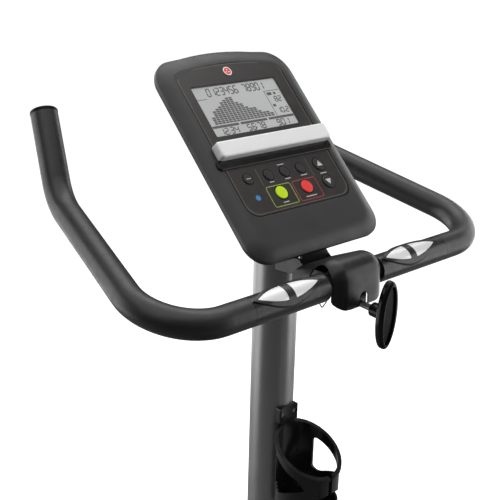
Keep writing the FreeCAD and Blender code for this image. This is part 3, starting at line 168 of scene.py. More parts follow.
def make_materials():
    charcoal = (0.024, 0.024, 0.025)
    return {
        "paint": surface("mast_paint", (0.29, 0.29, 0.293), 0.36, 2200, 0.00003, 6, 0.04, 0.04, metallic=0.8),
        "tube": surface("tube_paint", (0.018, 0.018, 0.019), 0.36, 1800, 0.00003, 14, 0.12, 0.05),
        "frame": surface("frame_paint", (0.022, 0.022, 0.024), 0.40, 1800, 0.00004, 8, 0.14, 0.06),
        "foam": surface("foam_skin", (0.011, 0.011, 0.011), 0.40, 2600, 0.00006, 22, 0.18, 0.05, specular=0.6),
        "cover": surface("cover_plastic", (0.009, 0.009, 0.0095), 0.36, 2600, 0.00004, 18, 0.12, 0.05,
                         specular=0.45),
        "bezel": surface("bezel_plastic", charcoal, 0.42, 3200, 0.00004, 9, 0.06, 0.05),
        "shell": surface("shell_plastic", shade(charcoal, 0.8), 0.46, 1900, 0.00006, 9, 0.08, 0.05),
        "shroud": surface("shroud_plastic", (0.026, 0.026, 0.028), 0.44, 1500, 0.00009, 4, 0.10, 0.07),
        "gloss": surface("gloss_plastic", (0.010, 0.010, 0.011), 0.20, 900, 0.00001, 12, 0.15, 0.05,
                         specular=0.4),
        "knob": surface("knob_plastic", (0.006, 0.006, 0.006), 0.16, 1400, 0.00001, 18, 0.15, 0.05,
                        specular=0.2),
        "matte": surface("matte_plastic", (0.022, 0.022, 0.023), 0.55, 1300, 0.00008, 20, 0.15, 0.07),
        "rubber": surface("rubber", (0.014, 0.014, 0.014), 0.68, 700, 0.00012, 30, 0.2, 0.08),
        "base": surface("sensor_plastic", (0.013, 0.013, 0.014), 0.30, 2600, 0.00003, 30, 0.12, 0.05),
        "overlay": surface("overlay_film", (0.030, 0.026, 0.025), 0.32, 4200, 0.00002, 16, 0.08, 0.04),
        # Silver paint set near-white and almost unmetallic: its own light tone plus painted reflection of the
        # bright surroundings.
        "rack": surface("rack_silver_painted_sheen", (0.97, 0.97, 0.975), 0.36, 3000, 0.00003, 18, 0.02, 0.05, metallic=0.05,
                        stretch=(0.1, 1, 1)),
        "plate": surface("sensor_steel", (0.95, 0.95, 0.945), 0.28, 1600, 0.00002, 30, 0.03, 0.06, metallic=0.2,
                         stretch=(0.1, 1, 1)),
        "steel": brushed("plain_steel", (0.55, 0.55, 0.54), 0.32, (0.1, 1, 1)),
        "post": brushed("post_chrome", (0.70, 0.70, 0.71), 0.16, (1, 1, 0.03)),
        "zinc": surface("zinc_screw", (0.16, 0.16, 0.17), 0.38, 900, 0.00005, 40, 0.2, 0.1, metallic=0.9),
        "iron": surface("cast_iron", (0.16, 0.155, 0.15), 0.52, 500, 0.0002, 15, 0.2, 0.1, metallic=0.8),
        "board": surface("circuit_board", (0.02, 0.14, 0.05), 0.45, 900, 0.00005, 60, 0.3, 0.1),
        "key": surface("key_plastic", (0.030, 0.028, 0.028), 0.34, 2400, 0.00003, 30, 0.10, 0.05),
        "green": surface("key_green", (0.62, 0.88, 0.004), 0.34, 2400, 0.00003, 40, 0.08, 0.05),
        "red": surface("key_red", (0.98, 0.055, 0.045), 0.34, 2400, 0.00003, 40, 0.08, 0.05),
        "blue": surface("mark_blue", (0.05, 0.24, 0.60), 0.40, 2400, 0.00002, 40, 0.08, 0.05),
        "white": surface("print_white", (0.62, 0.62, 0.61), 0.50, 2600, 0.00001, 60, 0.06, 0.05),
        "lime": surface("print_lime", (0.36, 0.46, 0.05), *PRINT_FINISH),
        "crimson": surface("print_red", (0.46, 0.04, 0.05), *PRINT_FINISH),
        "amber": surface("print_amber", (0.22, 0.16, 0.12), *PRINT_FINISH),
        "lcd": surface("lcd_glass", (0.56, 0.57, 0.565), 0.36, 3000, 0.00001, 10, 0.04, 0.03),
        "ink": surface("lcd_ink", (0.008, 0.008, 0.009), 0.5, 3000, 0.00001, 40, 0.15, 0.03),
        "thread": surface("saddle_thread", (0.055, 0.055, 0.058), 0.6, 3000, 0.00004, 80, 0.2, 0.06),
        # Near-black sheet laid in vent slots and strap holes: painted shade standing in for the shadow inside
        # the openings.
        "painted_hole_shade": surface("painted_recess_shade", (0.004, 0.004, 0.004), 0.7, 900, 0.00002, 30, 0.2, 0.05, specular=0.2),
        "accent": surface("accent_silver", (0.30, 0.30, 0.31), 0.34, 2600, 0.00002, 18, 0.06, 0.05,
                          metallic=0.6),
        "reflector": surface("amber_reflector", (0.62, 0.16, 0.012), 0.18, 500, 0.0003, 60, 0.1, 0.05, coat=0.5),
        "cap": surface("cap_plastic", (0.006, 0.006, 0.006), 0.45, 1800, 0.00003, 18, 0.12, 0.05, specular=0.1),
        # Near-black, almost unreflective disc laid in the knob's hollow: painted shade.
        "dish": surface("knob_dish_black", (0.003, 0.003, 0.003), 0.30, 900, 0.00001, 20, 0.2, 0.05,
                        specular=0.08),
        "window": make_window(),
        "leather": make_leather(),
        "floor": make_floor_material(),
    }


def make_window():
    """The clear cover of the display, with faint smears."""
    t = Tree("clear_window")
    t.shader.inputs["Base Color"].default_value = (1, 1, 1, 1)
    t.shader.inputs["Alpha"].default_value = 0.06
    t.link(t.span(t.noise(40.0, 4.0), 0.04, 0.12), t.shader.inputs["Roughness"])
    return t.material


def make_leather():
    """Saddle cover: pebbled vinyl with worn, glossier high spots."""
    t = Tree("saddle_vinyl")
    pebbles = t.cells(420.0)
    wear = t.noise(9.0, 4.0)
    t.link(t.ramp(wear, (0.011, 0.011, 0.012), (0.024, 0.024, 0.025)), t.shader.inputs["Base Color"])
    t.link(t.span(wear, 0.40, 0.56), t.shader.inputs["Roughness"])
    folds = t.bump(t.noise(55.0, 5.0), 0.25, 0.0008)
    t.link(t.bump(pebbles, 0.5, 0.0005, folds), t.shader.inputs["Normal"])
    return t.material


def make_floor_material():
    """A pale studio floor: bright to the eye, dimmer to the light it throws back up."""
    t = Tree("pale_floor")
    path = t.add("ShaderNodeLightPath").outputs["Is Camera Ray"]
    mottled = t.ramp(t.noise(2.0, 3.0), (0.78, 0.78, 0.78), (0.82, 0.82, 0.82))
    mix = t.add("ShaderNodeMix", data_type="RGBA")
    mix.inputs[6].default_value = (0.22, 0.22, 0.22, 1)
    t.link(path, mix.inputs[0])
    t.link(mottled, mix.inputs[7])
    t.link(mix.outputs[2], t.shader.inputs["Base Color"])
    t.link(t.span(t.noise(30.0, 3.0), 0.75, 0.85), t.shader.inputs["Roughness"])
    t.link(t.bump(t.noise(200.0, 3.0), 0.1, 0.0002), t.shader.inputs["Normal"])
    distance = t.add("ShaderNodeVectorMath", operation="LENGTH")
    t.link(t.coords, distance.inputs[0])
    brighter = t.add("ShaderNodeMapRange")
    for name, number in (("From Min", 0.8), ("From Max", 3.5), ("To Min", 0.70), ("To Max", 0.96)):
        brighter.inputs[name].default_value = number
    t.link(distance.outputs["Value"], brighter.inputs["Value"])
    glow = t.add("ShaderNodeMath", operation="MULTIPLY")
    t.link(brighter.outputs["Result"], glow.inputs[1])
    t.link(path, glow.inputs[0])
    t.shader.inputs["Emission Color"].default_value = (1, 1, 1, 1)
    t.link(glow.outputs[0], t.shader.inputs["Emission Strength"])
    t.shader.inputs["Specular IOR Level"].default_value = 0.1
    return t.material


FINISH = {
    "paint": ["mast"],
    "frame": ["main_frame", "front_stabilizer", "rear_stabilizer", "bar_clamp", "left_crank", "right_crank",
              "brake_arm"],
    "foam": ["foam_grips"],
    "cover": ["bar_cover", "seat_sleeve", "saddle_base"],
    "cap": ["grip_end_caps"],
    "bezel": ["console_front"],
    "shell": ["console_back"],
    "shroud": ["left_shroud", "right_shroud", "mast_boot"],
    "gloss": ["bottle_cage", "power_inlet"],
    "knob": ["clamp_knob"],
    "matte": ["front_end_caps", "rear_end_caps", "left_pedal", "right_pedal", "left_roller", "right_roller",
              "brake_motor", "drive_pulley", "idler_wheel", "seat_pin"],
    "rubber": ["drive_belt", "left_leveler", "right_leveler"],
    "base": ["sensor_bases"],
    "overlay": ["panel_overlay"],
    "rack": ["reading_rack"],
    "plate": ["sensor_plates"],
    "steel": ["bearings", "axle_pins", "crank_spindle", "tensioner_arm"],
    "tube": ["handlebar_tube"],
    "post": ["seat_post"],
    "zinc": ["frame_bolts", "small_screws", "clamp_bolt"],
    "iron": ["flywheel"],
    "board": ["console_board"],
    "lcd": ["display_panel"],
    "window": ["display_lens"],
    "leather": ["saddle_pad"],
    "key": ["button_enter", "button_program_a", "button_program_b", "button_program_c", "button_level_up",
            "button_level_down"],
    "green": ["button_start"],
    "red": ["button_stop"],
}


def finish_frame(materials):
    """Gives every CAD node its material."""
    for finish, names in FINISH.items():
        for name in names:
            for slot in nodes[name].material_slots:
                slot.material = materials[finish]


# ---------------------------------------------------------------- making pieces
def add_object(name, data):
    item = bpy.data.objects.new(name, data)
    bpy.context.scene.collection.objects.link(item)
    return item


def add_mesh(name, mesh, smooth=False):
    """Turns a bmesh into an object, its faces turned outward."""
    bmesh.ops.recalc_face_normals(mesh, faces=mesh.faces)
    for face in mesh.faces:
        face.smooth = smooth
    data = bpy.data.meshes.new(name)
    mesh.to_mesh(data)
    mesh.free()
    return add_object(name, data)


def make_piece(name, mesh, material, body, smooth=False):
    """An object that rides on a body and takes the given material."""
    piece = add_mesh(name, mesh, smooth)
    piece.data.materials.append(material)
    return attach(piece, body)


def bridge(mesh, near, far):
    """Quads between two closed loops that have the same number of points."""
    for i in range(len(near)):
        j = (i + 1) % len(near)
        mesh.faces.new((near[i], near[j], far[j], far[i]))


def soften(piece, width, angle=30.0):
    """Bevels the edges sharper than an angle; the width is in millimetres."""
    edge = piece.modifiers.new("edge", "BEVEL")
    edge.width, edge.segments, edge.limit_method, edge.angle_limit = width * MM, 2, "ANGLE", math.radians(angle)


def plane_at(across, upward, outward, origin):
    """The matrix of a plane's own axes, with its origin."""
    matrix = Matrix((across, upward, outward)).transposed().to_4x4()
    matrix.translation = origin
    return matrix


def add_turned(mesh, place, axis, profile, steps=48):
    """A surface of revolution; the profile is (distance along the axis, radius) in millimetres."""
    turn = Vector(axis).to_track_quat("Z", "Y").to_matrix()
    rings = []
    for along, radius in profile:
        if radius == 0:
            rings.append([mesh.verts.new(place + turn @ Vector((0, 0, along)) * MM)])
            continue
        points = [Vector((u, v, along)) for u, v in circle(0, 0, radius, steps)]
        rings.append([mesh.verts.new(place + turn @ point * MM) for point in points])
    for near, far in zip(rings, rings[1:]):
        if len(near) == len(far):
            bridge(mesh, near, far)
            continue
        for i in range(steps):
            j = (i + 1) % steps
            mesh.faces.new((near[0], far[j], far[i]) if len(near) == 1 else (near[i], near[j], far[0]))
    for end in (rings[0], rings[-1]):
        if len(end) > 1:
            mesh.faces.new(end)


def add_tube(mesh, points, radius, closed=False, steps=10, swell=None):
    """A round tube through points in metres; swell(i) scales its radius at each point."""
    count = len(points)
    rings = []
    for i, point in enumerate(points):
        before = points[i - 1] if closed or i else points[i]
        after = points[(i + 1) % count] if closed or i < count - 1 else points[i]
        turn = (after - before).to_track_quat("Z", "Y").to_matrix()
        size = radius * MM * (swell(i) if swell else 1)
        rings.append([mesh.verts.new(point + turn @ Vector((math.cos(a), math.sin(a), 0)) * size)
                      for a in (2 * math.pi * k / steps for k in range(steps))])
    for near, far in zip(rings, rings[1:] + rings[:1] if closed else rings[1:]):
        bridge(mesh, near, far)
    if not closed:
        mesh.faces.new(rings[0])
        mesh.faces.new(rings[-1])


# ---------------------------------------------------------------- flat pieces on the console
def console_frame():
    """Console axes: along its width, up its face and out of it, from the keys' and the window's places."""
    outward = -Vector(joints["button_start_press"]["axis"]).normalized()
    across = Vector((1, 0, 0))
    upward = outward.cross(across)
    low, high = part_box("display_lens")
    origin = (low + high) / 2 - (across * DISPLAY_U + upward * DISPLAY_V + outward * DISPLAY_FACE) * MM
    return plane_at(across, upward, outward, origin)


CONSOLE = console_frame()
FACE = 7.0
KEYS = {"button_enter": (-61, 100.5, 6.5), "button_program_a": (-28.5, 100.5, 6.5),
        "button_program_b": (-2, 100.5, 6.5), "button_program_c": (25.5, 100.5, 6.5),
        "button_level_up": (58, 100.5, 8.5), "button_level_down": (58, 74.5, 8.5),
        "button_start": (-23.5, 74.5, 8.5), "button_stop": (19.5, 74.5, 8.5)}


class Sheet:
    """Flat shapes in millimetres on a plane, each given a thickness, gathered into one mesh."""

    def __init__(self, matrix=CONSOLE):
        self.mesh = bmesh.new()
        self.matrix = matrix

    def _loop(self, points, height):
        return [self.mesh.verts.new(self.matrix @ (Vector((u, v, height)) * MM)) for u, v in points]

    def shape(self, points, low, high):
        bottom, top = self._loop(points, low), self._loop(points, high)
        self.mesh.faces.new(top)
        self.mesh.faces.new(bottom[::-1])
        bridge(self.mesh, bottom, top)

    def band(self, outer, inner, low, high):
        """The strip between two outlines that have the same number of points."""
        rings = [self._loop(*ring) for ring in ((outer, low), (outer, high), (inner, high), (inner, low))]
        for near, far in zip(rings, rings[1:] + rings[:1]):
            bridge(self.mesh, near, far)

    def done(self, name, material, body="frame", bevel=0.0, slot="panel_overlay"):
        piece = make_piece(name, self.mesh, material, body)
        if bevel:
            soften(piece, bevel)
        return piece


def circle(u, v, radius, steps=32):
    return [(u + radius * math.cos(2 * math.pi * i / steps), v + radius * math.sin(2 * math.pi * i / steps))
            for i in range(steps)]


def rounded_box(u0, u1, v0, v1, radius, steps=6):
    points = []
    centres = ((u1 - radius, v1 - radius), (u0 + radius, v1 - radius), (u0 + radius, v0 + radius),
               (u1 - radius, v0 + radius))
    for quarter, (cu, cv) in enumerate(centres):
        for i in range(steps + 1):
            turn = math.pi / 2 * (quarter + i / steps)
            points.append((cu + radius * math.cos(turn), cv + radius * math.sin(turn)))
    return points


def arched_panel(margin, steps=8):
    """The outline of the inlay: rounded corners and a gently arched top edge."""
    half, rise, radius = 87 - margin, 6.5, 17
    points = []
    shoulder = PANEL_HIGH - rise - margin
    for i in range(2 * steps + 1):
        share = 1 - i / steps
        points.append((share * (half - radius), shoulder + (rise - 1.5) * (1 - share * share) + 1.5))
    side, upper, lower = half - radius, shoulder - radius + 1.5, PANEL_LOW + margin + radius
    for cu, cv, start in ((-side, upper, 90), (-side, lower, 180), (side, lower, 270), (side, upper, 0)):
        for i in range(steps + 1):
            turn = math.radians(start + 90 * i / steps)
            points.append((cu + radius * math.cos(turn), cv + radius * math.sin(turn)))
    return points


SEGMENTS = {"0": "abcdef", "1": "bc", "2": "abged", "3": "abgcd", "4": "fgbc", "5": "afgcd", "6": "afgcde",
            "7": "abc", "8": "abcdefg", "9": "abfgcd", "-": "g"}
SEGMENT_ENDS = {"a": ((0, 1), (1, 1)), "b": ((1, 1), (1, 0.5)), "c": ((1, 0.5), (1, 0)), "d": ((0, 0), (1, 0)),
                "e": ((0, 0.5), (0, 0)), "f": ((0, 1), (0, 0.5)), "g": ((0, 0.5), (1, 0.5))}


def draw_digits(sheet, text, u, v, wide, tall, stroke, pitch, low, high):
    """Seven-segment digits with a slight slant, starting at (u, v)."""
    lean = 0.08
    for letter in text:
        if letter in ".:":
            for rise in (0.12,) if letter == "." else (0.25, 0.7):
                middle = v + tall * rise
                dot = u - pitch * 0.18
                sheet.shape(rounded_box(dot, dot + stroke, middle, middle + stroke, 0.2, 2), low, high)
            u += pitch * 0.22
            continue
        for name in SEGMENTS.get(letter, ""):
            (x0, y0), (x1, y1) = SEGMENT_ENDS[name]
            start = Vector((u + x0 * wide + lean * y0 * tall, v + y0 * tall))
            end = Vector((u + x1 * wide + lean * y1 * tall, v + y1 * tall))
            along = (end - start).normalized()
            side = Vector((-along.y, along.x)) * stroke / 2
            start, end = start + along * stroke * 0.45, end - along * stroke * 0.45
            tip = along * stroke * 0.4
            sheet.shape([tuple(start - tip), tuple(start + side), tuple(end + side), tuple(end + tip),
                         tuple(end - side), tuple(start - side)][::-1], low, high)
        u += pitch


def build_display(materials):
    """The characters, the hill of bars and the readouts, with plain digits."""
    ink = Sheet()
    low, high = LCD_TOP, LCD_TOP + 0.05
    left, base = DISPLAY_U - 69.5, DISPLAY_V - 36.25
    draw_digits(ink, "0123456 78901", left + 21, base + 57.3, 5.0, 10.6, 1.6, 7.3, low, high)
    for start, end, foot in ((2, 17, 53.6), (110, 136, 53.6), (110, 110.9, 17)):
        ink.shape(rounded_box(left + start, left + end, base + foot, base + 54.4, 0.3, 2), low, high)
    heights = [4, 7, 8, 9, 11, 12, 13, 13, 10, 9, 7, 6, 6, 4, 3, 3, 2]
    for column, count in enumerate(heights):
        u = left + 9 + column * 5.8
        for row in range(count):
            v = base + 17.6 + row * 2.75
            ink.shape(rounded_box(u, u + 5.0, v, v + 2.2, 0.2, 2), low, high)
    for start, end in ((2, 44), (47, 91), (94, 137)):
        ink.shape(rounded_box(left + start, left + end, base + 12.6, base + 16.0, 0.3, 2), low, high)
    for text, u in (("12.34", 10), ("56:78", 54), ("901", 104)):
        draw_digits(ink, text, left + u, base + 2.6, 5.0, 8.6, 1.55, 7.4, low, high)
    for text, u, v in (("82", 121, 37), ("10.2", 115.5, 20)):
        draw_digits(ink, text, left + u, base + v, 4.4, 7.4, 1.4, 6.4, low, high)
    ink.shape(rounded_box(left + 113, left + 121, base + 47.2, base + 51.5, 1.2, 3), low, high)
    ink.shape(circle(left + 126, base + 49.3, 2.2, 12), low, high)
    ink.shape(rounded_box(left + 113, left + 118, base + 30, base + 33.5, 0.8, 3), low, high)
    ink.done("display_segments", materials["ink"])
    rim = Sheet()
    rim.band(rounded_box(left + 0.4, left + 138.6, base + 0.4, base + 72.1, 2.2),
             rounded_box(left + 1.3, left + 137.7, base + 1.3, base + 71.2, 1.6), LCD_TOP, LCD_TOP + 0.09)
    rim.done("display_border", materials["ink"])


def build_panel_marks(materials):
    """Seams and printed marks of the keypad; labels are plain bars. The dark seam band is partly painted shade
    of the step round the inlay; the dark key rings are painted shade of the gaps in the key wells.
    """
    # Dark band round the inlay: a seam, partly painted shade of the step at the inlay's edge.
    seam = Sheet()
    seam.band(arched_panel(-0.5), arched_panel(0.9), FACE - 0.35, FACE + 0.06)
    seam.done("panel_seam_shade", materials["gloss"])
    lines = Sheet()
    lines.band(arched_panel(2.4), arched_panel(2.9), FACE - 0.02, FACE + 0.03)
    for u in (-43.5, 40.5):
        lines.shape(rounded_box(u - 0.25, u + 0.25, 87, 112, 0.2, 2), FACE - 0.02, FACE + 0.03)
    lines.done("panel_lines", materials["amber"])
    labels = Sheet()
    for u, v, half in ((-28.5, 90.6, 3.6), (-2, 90.6, 4.6), (25.5, 90.6, 5.4), (-2, 110.6, 5.6),
                       (58, 87.3, 5.6), (-23.5, 61.5, 4.6), (19.5, 61.5, 9.0)):
        labels.shape(rounded_box(u - half, u + half, v - 0.55, v + 0.55, 0.5, 3), FACE - 0.02, FACE + 0.04)
    labels.done("key_labels", materials["white"])
    for name, colour, left in (("start_frame", "lime", -43.5), ("stop_frame", "crimson", -0.5)):
        right = left + 40
        box = Sheet()
        box.band(rounded_box(left, right, 57, 85.5, 3), rounded_box(left + 0.9, right - 0.9, 57.9, 84.6, 2.2),
                 FACE - 0.02, FACE + 0.05)
        box.done(name, materials[colour])
    mark = Sheet()
    mark.shape(circle(-61, 74.5, 3.6), FACE - 0.02, FACE + 0.06)
    mark.done("wireless_mark", materials["blue"])
    # Dark rings round the keys: painted shade in the gaps of the key wells.
    well_shade = Sheet()
    for u, v, radius in KEYS.values():
        well_shade.band(circle(u, v, radius + 1.5), circle(u, v, radius + 0.7), FACE - 0.02, FACE + 0.12)
    well_shade.done("key_well_shade", materials["gloss"])
    top = FACE + 1.2
    for name, sign in (("button_level_up", 1), ("button_level_down", -1)):
        u, v, _ = KEYS[name]
        arrow = Sheet()
        corners = [(u - 4.6, v - 3.2 * sign), (u + 4.6, v - 3.2 * sign), (u, v + 4.4 * sign)]
        arrow.shape(corners[::sign], top - 0.1, top + 0.12)
        arrow.done(f"{name}_arrow", materials["white"], f"{name}_body")
    u, v, _ = KEYS["button_enter"]
    bar = Sheet()
    bar.shape(rounded_box(u - 3.6, u + 3.6, v - 0.5, v + 0.5, 0.4, 3), top - 0.1, top + 0.05)
    bar.done("button_enter_mark", materials["white"], "button_enter_body")


def build_badge(materials):
    """A plain round badge: a silver ring round a red disc with three dots."""
    u, v = -2.5, 250.5
    ring = Sheet()
    ring.band(circle(u, v, 6.4, 40), circle(u, v, 5.0, 40), FACE - 0.05, FACE + 0.9)
    ring.done("badge_ring", materials["rack"], bevel=0.25)
    disc = Sheet()
    disc.shape(circle(u, v, 5.0, 40), FACE - 0.05, FACE + 0.55)
    disc.done("badge_disc", materials["red"])
    dots = Sheet()
    for i in range(3):
        turn = math.radians(90 + 120 * i)
        dots.shape(circle(u + 2.2 * math.cos(turn), v + 2.2 * math.sin(turn), 0.9, 16), FACE + 0.4, FACE + 0.7)
    dots.done("badge_dots", materials["rack"])


def bezel_outline(inset):
    """The console's outline pulled in by an inset, always with the same number of points."""
    half, bottom, shoulder, top = 109 - inset, inset - 4.5, 275 - inset, 284 - inset
    corner, edge = 30 - inset * 0.5, 34 - inset * 0.5
    points = []
    arcs = ((half - corner, bottom + corner, corner, -90, 0), (half - edge, shoulder - edge + 1.0, edge, 0, 82),
            None,
            (edge - half, shoulder - edge + 1.0, edge, 98, 180),
            (corner - half, bottom + corner, corner, 180, 270))
    for arc in arcs:
        if arc is None:
            start, end = points[-1], (-points[-1][0], points[-1][1])
            for i in range(1, 16):
                share = i / 16
                lift = (top - start[1]) * 4 * share * (1 - share)
                points.append((start[0] + (end[0] - start[0]) * share, start[1] + lift))
            continue
        u, v, radius, first, last = arc
        for i in range(13):
            turn = math.radians(first + (last - first) * i / 12)
            points.append((u + radius * math.cos(turn), v + radius * math.sin(turn)))
    dense = []
    for a, b in zip(points, points[1:] + points[:1]):
        steps = 24 if math.dist(a, b) > 40 else 1
        dense.extend((a[0] + (b[0] - a[0]) * i / steps, a[1] + (b[1] - a[1]) * i / steps) for i in range(steps))
    return dense


def inlay_border(points):
    """Where lines from the inlay's middle to these points cross its border."""
    border = arched_panel(-0.4)
    centre = Vector((0, 157.5))
    crossings = []
    for point in points:
        ray = Vector(point) - centre
        best = None
        for a, b in zip(border, border[1:] + border[:1]):
            start, edge = Vector(a) - centre, Vector(b) - Vector(a)
            turn = ray.x * edge.y - ray.y * edge.x
            if abs(turn) > 1e-9:
                along = (start.x * edge.y - start.y * edge.x) / turn
                share = (start.x * ray.y - start.y * ray.x) / turn
                if along > 0 and -1e-6 <= share <= 1 + 1e-6:
                    best = along if best is None else min(best, along)
        crossings.append(tuple(centre + ray * best))
    return crossings


def build_bezel(materials):
    """The crowned outer skin of the console, from its rim to the border of the inlay."""
    mesh = bmesh.new()
    rings = [(bezel_outline(-0.25), -4.6), (bezel_outline(-0.35), 0.0)]
    for i in range(15):
        inset = 21.0 * (i / 14) ** 1.5
        rings.append((bezel_outline(inset - 0.3), 0.75 + 6.4 * (1 - (1 - inset / 21.0) ** 2.1)))
    border = inlay_border(rings[-1][0])
    rings.append((border, FACE + 0.15))
    rings.append((border, FACE - 0.5))
    loops = [[mesh.verts.new(CONSOLE @ (Vector((u, v, height)) * MM)) for u, v in points]
             for points, height in rings]
    for outer, inner in zip(loops, loops[1:]):
        bridge(mesh, outer, inner)
    skin = make_piece("bezel_skin", mesh, materials["bezel"], "frame", smooth=True)
    skin.data.set_sharp_from_angle(angle=math.radians(40))


HOOD_HALF, HOOD_LOW, HOOD_FOOT, HOOD_MIDDLE = 43.4, -29.5, -27.5, -4.0


def cover_section(inset, low):
    """Side view of the hood as (ahead, up) points, drawn in towards the handlebar by an inset."""
    corners = [(70, low, 0), (-21.5, low, 0), (-21.5, 28.5, 21), (5, 28.5, 14), (70, 1.9, 0)]
    points = []
    for i, (y, z, radius) in enumerate(corners):
        if not radius:
            points.append(Vector((y, z)))
            continue
        before = (Vector(corners[i - 1][:2]) - Vector((y, z))).normalized()
        after = (Vector(corners[i + 1][:2]) - Vector((y, z))).normalized()
        half_angle = before.angle(after) / 2
        centre = Vector((y, z)) + (before + after).normalized() * radius / math.sin(half_angle)
        start = Vector((y, z)) + before * radius / math.tan(half_angle) - centre
        sweep = start.angle_signed(Vector((y, z)) + after * radius / math.tan(half_angle) - centre)
        for k in range(13):
            turn = -sweep * k / 12
            points.append(centre + Vector((start.x * math.cos(turn) - start.y * math.sin(turn),
                                           start.x * math.sin(turn) + start.y * math.cos(turn))))
    core = Vector((10, -4))
    return [core + (p - core) * max(0.1, 1 - inset / (p - core).length) for p in points]


def cover_block(name, shrink):
    """A closed block in the shape of the hood, its two ends rounded into its top and front."""
    half, round_x, round_in = HOOD_HALF - shrink, 21.0, 19.0
    mesh = bmesh.new()
    rings = []
    stations = [half - round_x * (1 - math.sin(math.radians(6 * i))) for i in range(16)]
    for x in [-s for s in stations[::-1]] + stations:
        past = max(0.0, abs(x) - (half - round_x)) / round_x
        inset = shrink + round_in * (1 - math.sqrt(max(0.0, 1 - past * past)))
        section = cover_section(inset, HOOD_LOW - 30.5 if shrink else HOOD_LOW)
        rings.append([mesh.verts.new(BAR + Vector((x + HOOD_MIDDLE, p.x, p.y)) * MM) for p in section])
    for near, far in zip(rings, rings[1:]):
        bridge(mesh, near, far)
    for end in (rings[0], rings[-1]):
        mesh.faces.new(end)
    return add_mesh(name, mesh)


def prism(points, axis, low, high):
    """A prism of (a, b) points in millimetres from the bar's centre, along x or along y."""
    mesh = bmesh.new()
    ends = []
    for level in (low, high):
        ends.append([mesh.verts.new(BAR + Vector((level, a, b) if axis == "X" else (a, level, b)) * MM)
                     for a, b in points])
    mesh.faces.new(ends[0])
    mesh.faces.new(ends[1][::-1])
    bridge(mesh, *ends)
    return mesh


def extruded_tool(name, *shape):
    """A prism that only cuts another piece."""
    return add_mesh(name, prism(*shape))


def arch(radius, a, b, low, steps=24):
    """A round-topped opening that runs straight down from its arch."""
    return [(a + radius * math.cos(math.pi * i / steps), b + radius * math.sin(math.pi * i / steps))
            for i in range(steps + 1)] + [(a - radius, low), (a + radius, low)]


def foot_corner(side, radius=21.0):
    """What is cut away outside one rounded lower corner of the hood, as (across, up) points."""
    centre, level = HOOD_HALF - radius, HOOD_FOOT + radius
    points = [(centre, HOOD_FOOT - 30), (HOOD_HALF + 20, HOOD_FOOT - 30), (HOOD_HALF + 20, level)]
    for i in range(13):
        turn = math.pi * i / 24
        points.append((centre + radius * math.cos(turn), level - radius * math.sin(turn)))
    return [(HOOD_MIDDLE + side * x, z) for x, z in points]


def build_hood(materials):
    """The smooth hood over the clamp, with an arch for the bar at each end and a slot for the knob's stem."""
    hood = cover_block("clamp_hood", 0.0)
    tools = [cover_block("hood_hollow", 2.2),
             extruded_tool("hood_left_arch", arch(16.2, 4.5, 7.2, -70), "X", -60, -36),
             extruded_tool("hood_right_arch", arch(16.2, 4.5, 7.2, -70), "X", 28, 60),
             extruded_tool("hood_stem_slot", arch(7.6, 0, -18.5, -70), "Y", -40, -12),
             extruded_tool("hood_left_foot", foot_corner(-1), "Y", -60, 90),
             extruded_tool("hood_right_foot", foot_corner(1), "Y", -60, 90),
             extruded_tool("hood_open_back", [(49, -70), (90, -70), (90, 60), (49, 60)], "X", -80, 80),
             extruded_tool("hood_open_low", [(-60, -70), (90, -70), (90, -13), (46, -13), (24, HOOD_FOOT),
                                             (-60, HOOD_FOOT)], "X", -80, 80)]
    for i, tool in enumerate(tools):
        cut = hood.modifiers.new(f"cut_{i}", "BOOLEAN")
        cut.operation, cut.solver, cut.object = "DIFFERENCE", "EXACT", tool
    apply_modifiers(hood)
    for tool in tools:
        bpy.data.objects.remove(tool)
    hood.data.materials.clear()
    hood.data.materials.append(materials["cover"])
    for polygon in hood.data.polygons:
        polygon.use_smooth = True
    hood.data.set_sharp_from_angle(angle=math.radians(32))
    soften(hood, 0.6, 50.0)
    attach(hood, "frame")
    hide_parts("bar_cover")


def build_knob_dish(materials):
    """A near-black disc in the knob's paddle: painted shade standing in for the shading and dark reflection in
    its hollow.
    """
    outward = -Vector(joints["knob_turn"]["axis"]).normalized()
    across = Vector((1, 0, 0))
    origin = Vector(joints["knob_turn"]["pos_m"]) + outward * 0.056
    dish = Sheet(plane_at(across, outward.cross(across), outward, origin))
    dish.shape([(8.7 * u, 36.2 * v) for u, v in circle(0, 0, 1, 64)], 2.6, 2.9)
    dish.done("knob_dish", materials["dish"], "knob", bevel=0.12, slot="clamp_knob")


def build_arm_web(materials):
    """The plate across the clamp arm's channel, ahead of the bar."""
    corners = [(-22.3, -4.3), (22.3, -4.3), (22.3, 15), (19, 19), (-19, 19), (-22.3, 15)]
    web = prism(corners, "Y", 57, 62)
    soften(make_piece("clamp_arm_web", web, materials["frame"], "frame"), 0.8)


def build_rack_ledge_and_shadow(materials):
    """The black ledge under the silver bar; its dark strip also serves as painted shadow cast by the bar below
    it.
    """
    ledge = Sheet()
    # Black strip under the silver bar: a real ledge and painted shadow of the bar together.
    ledge.shape(rounded_box(-95, 95, 117.5, 131, 5), FACE - 0.1, FACE + 2.2)
    ledge.done("rack_ledge_and_shadow", materials["gloss"], bevel=0.8)


# ---------------------------------------------------------------- saddle
RIM_STEPS = 160
STITCH_PITCH = 0.0055


def settle(piece, kind, **settings):
    """Adds a modifier and keeps its result as the mesh."""
    modifier = piece.modifiers.new(kind.lower(), kind)
    for name, value in settings.items():
        setattr(modifier, name, value)
    apply_modifiers(piece)


def apply_modifiers(piece):
    graph = bpy.context.evaluated_depsgraph_get()
    data = bpy.data.meshes.new_from_object(piece.evaluated_get(graph))
    piece.modifiers.clear()
    piece.data = data


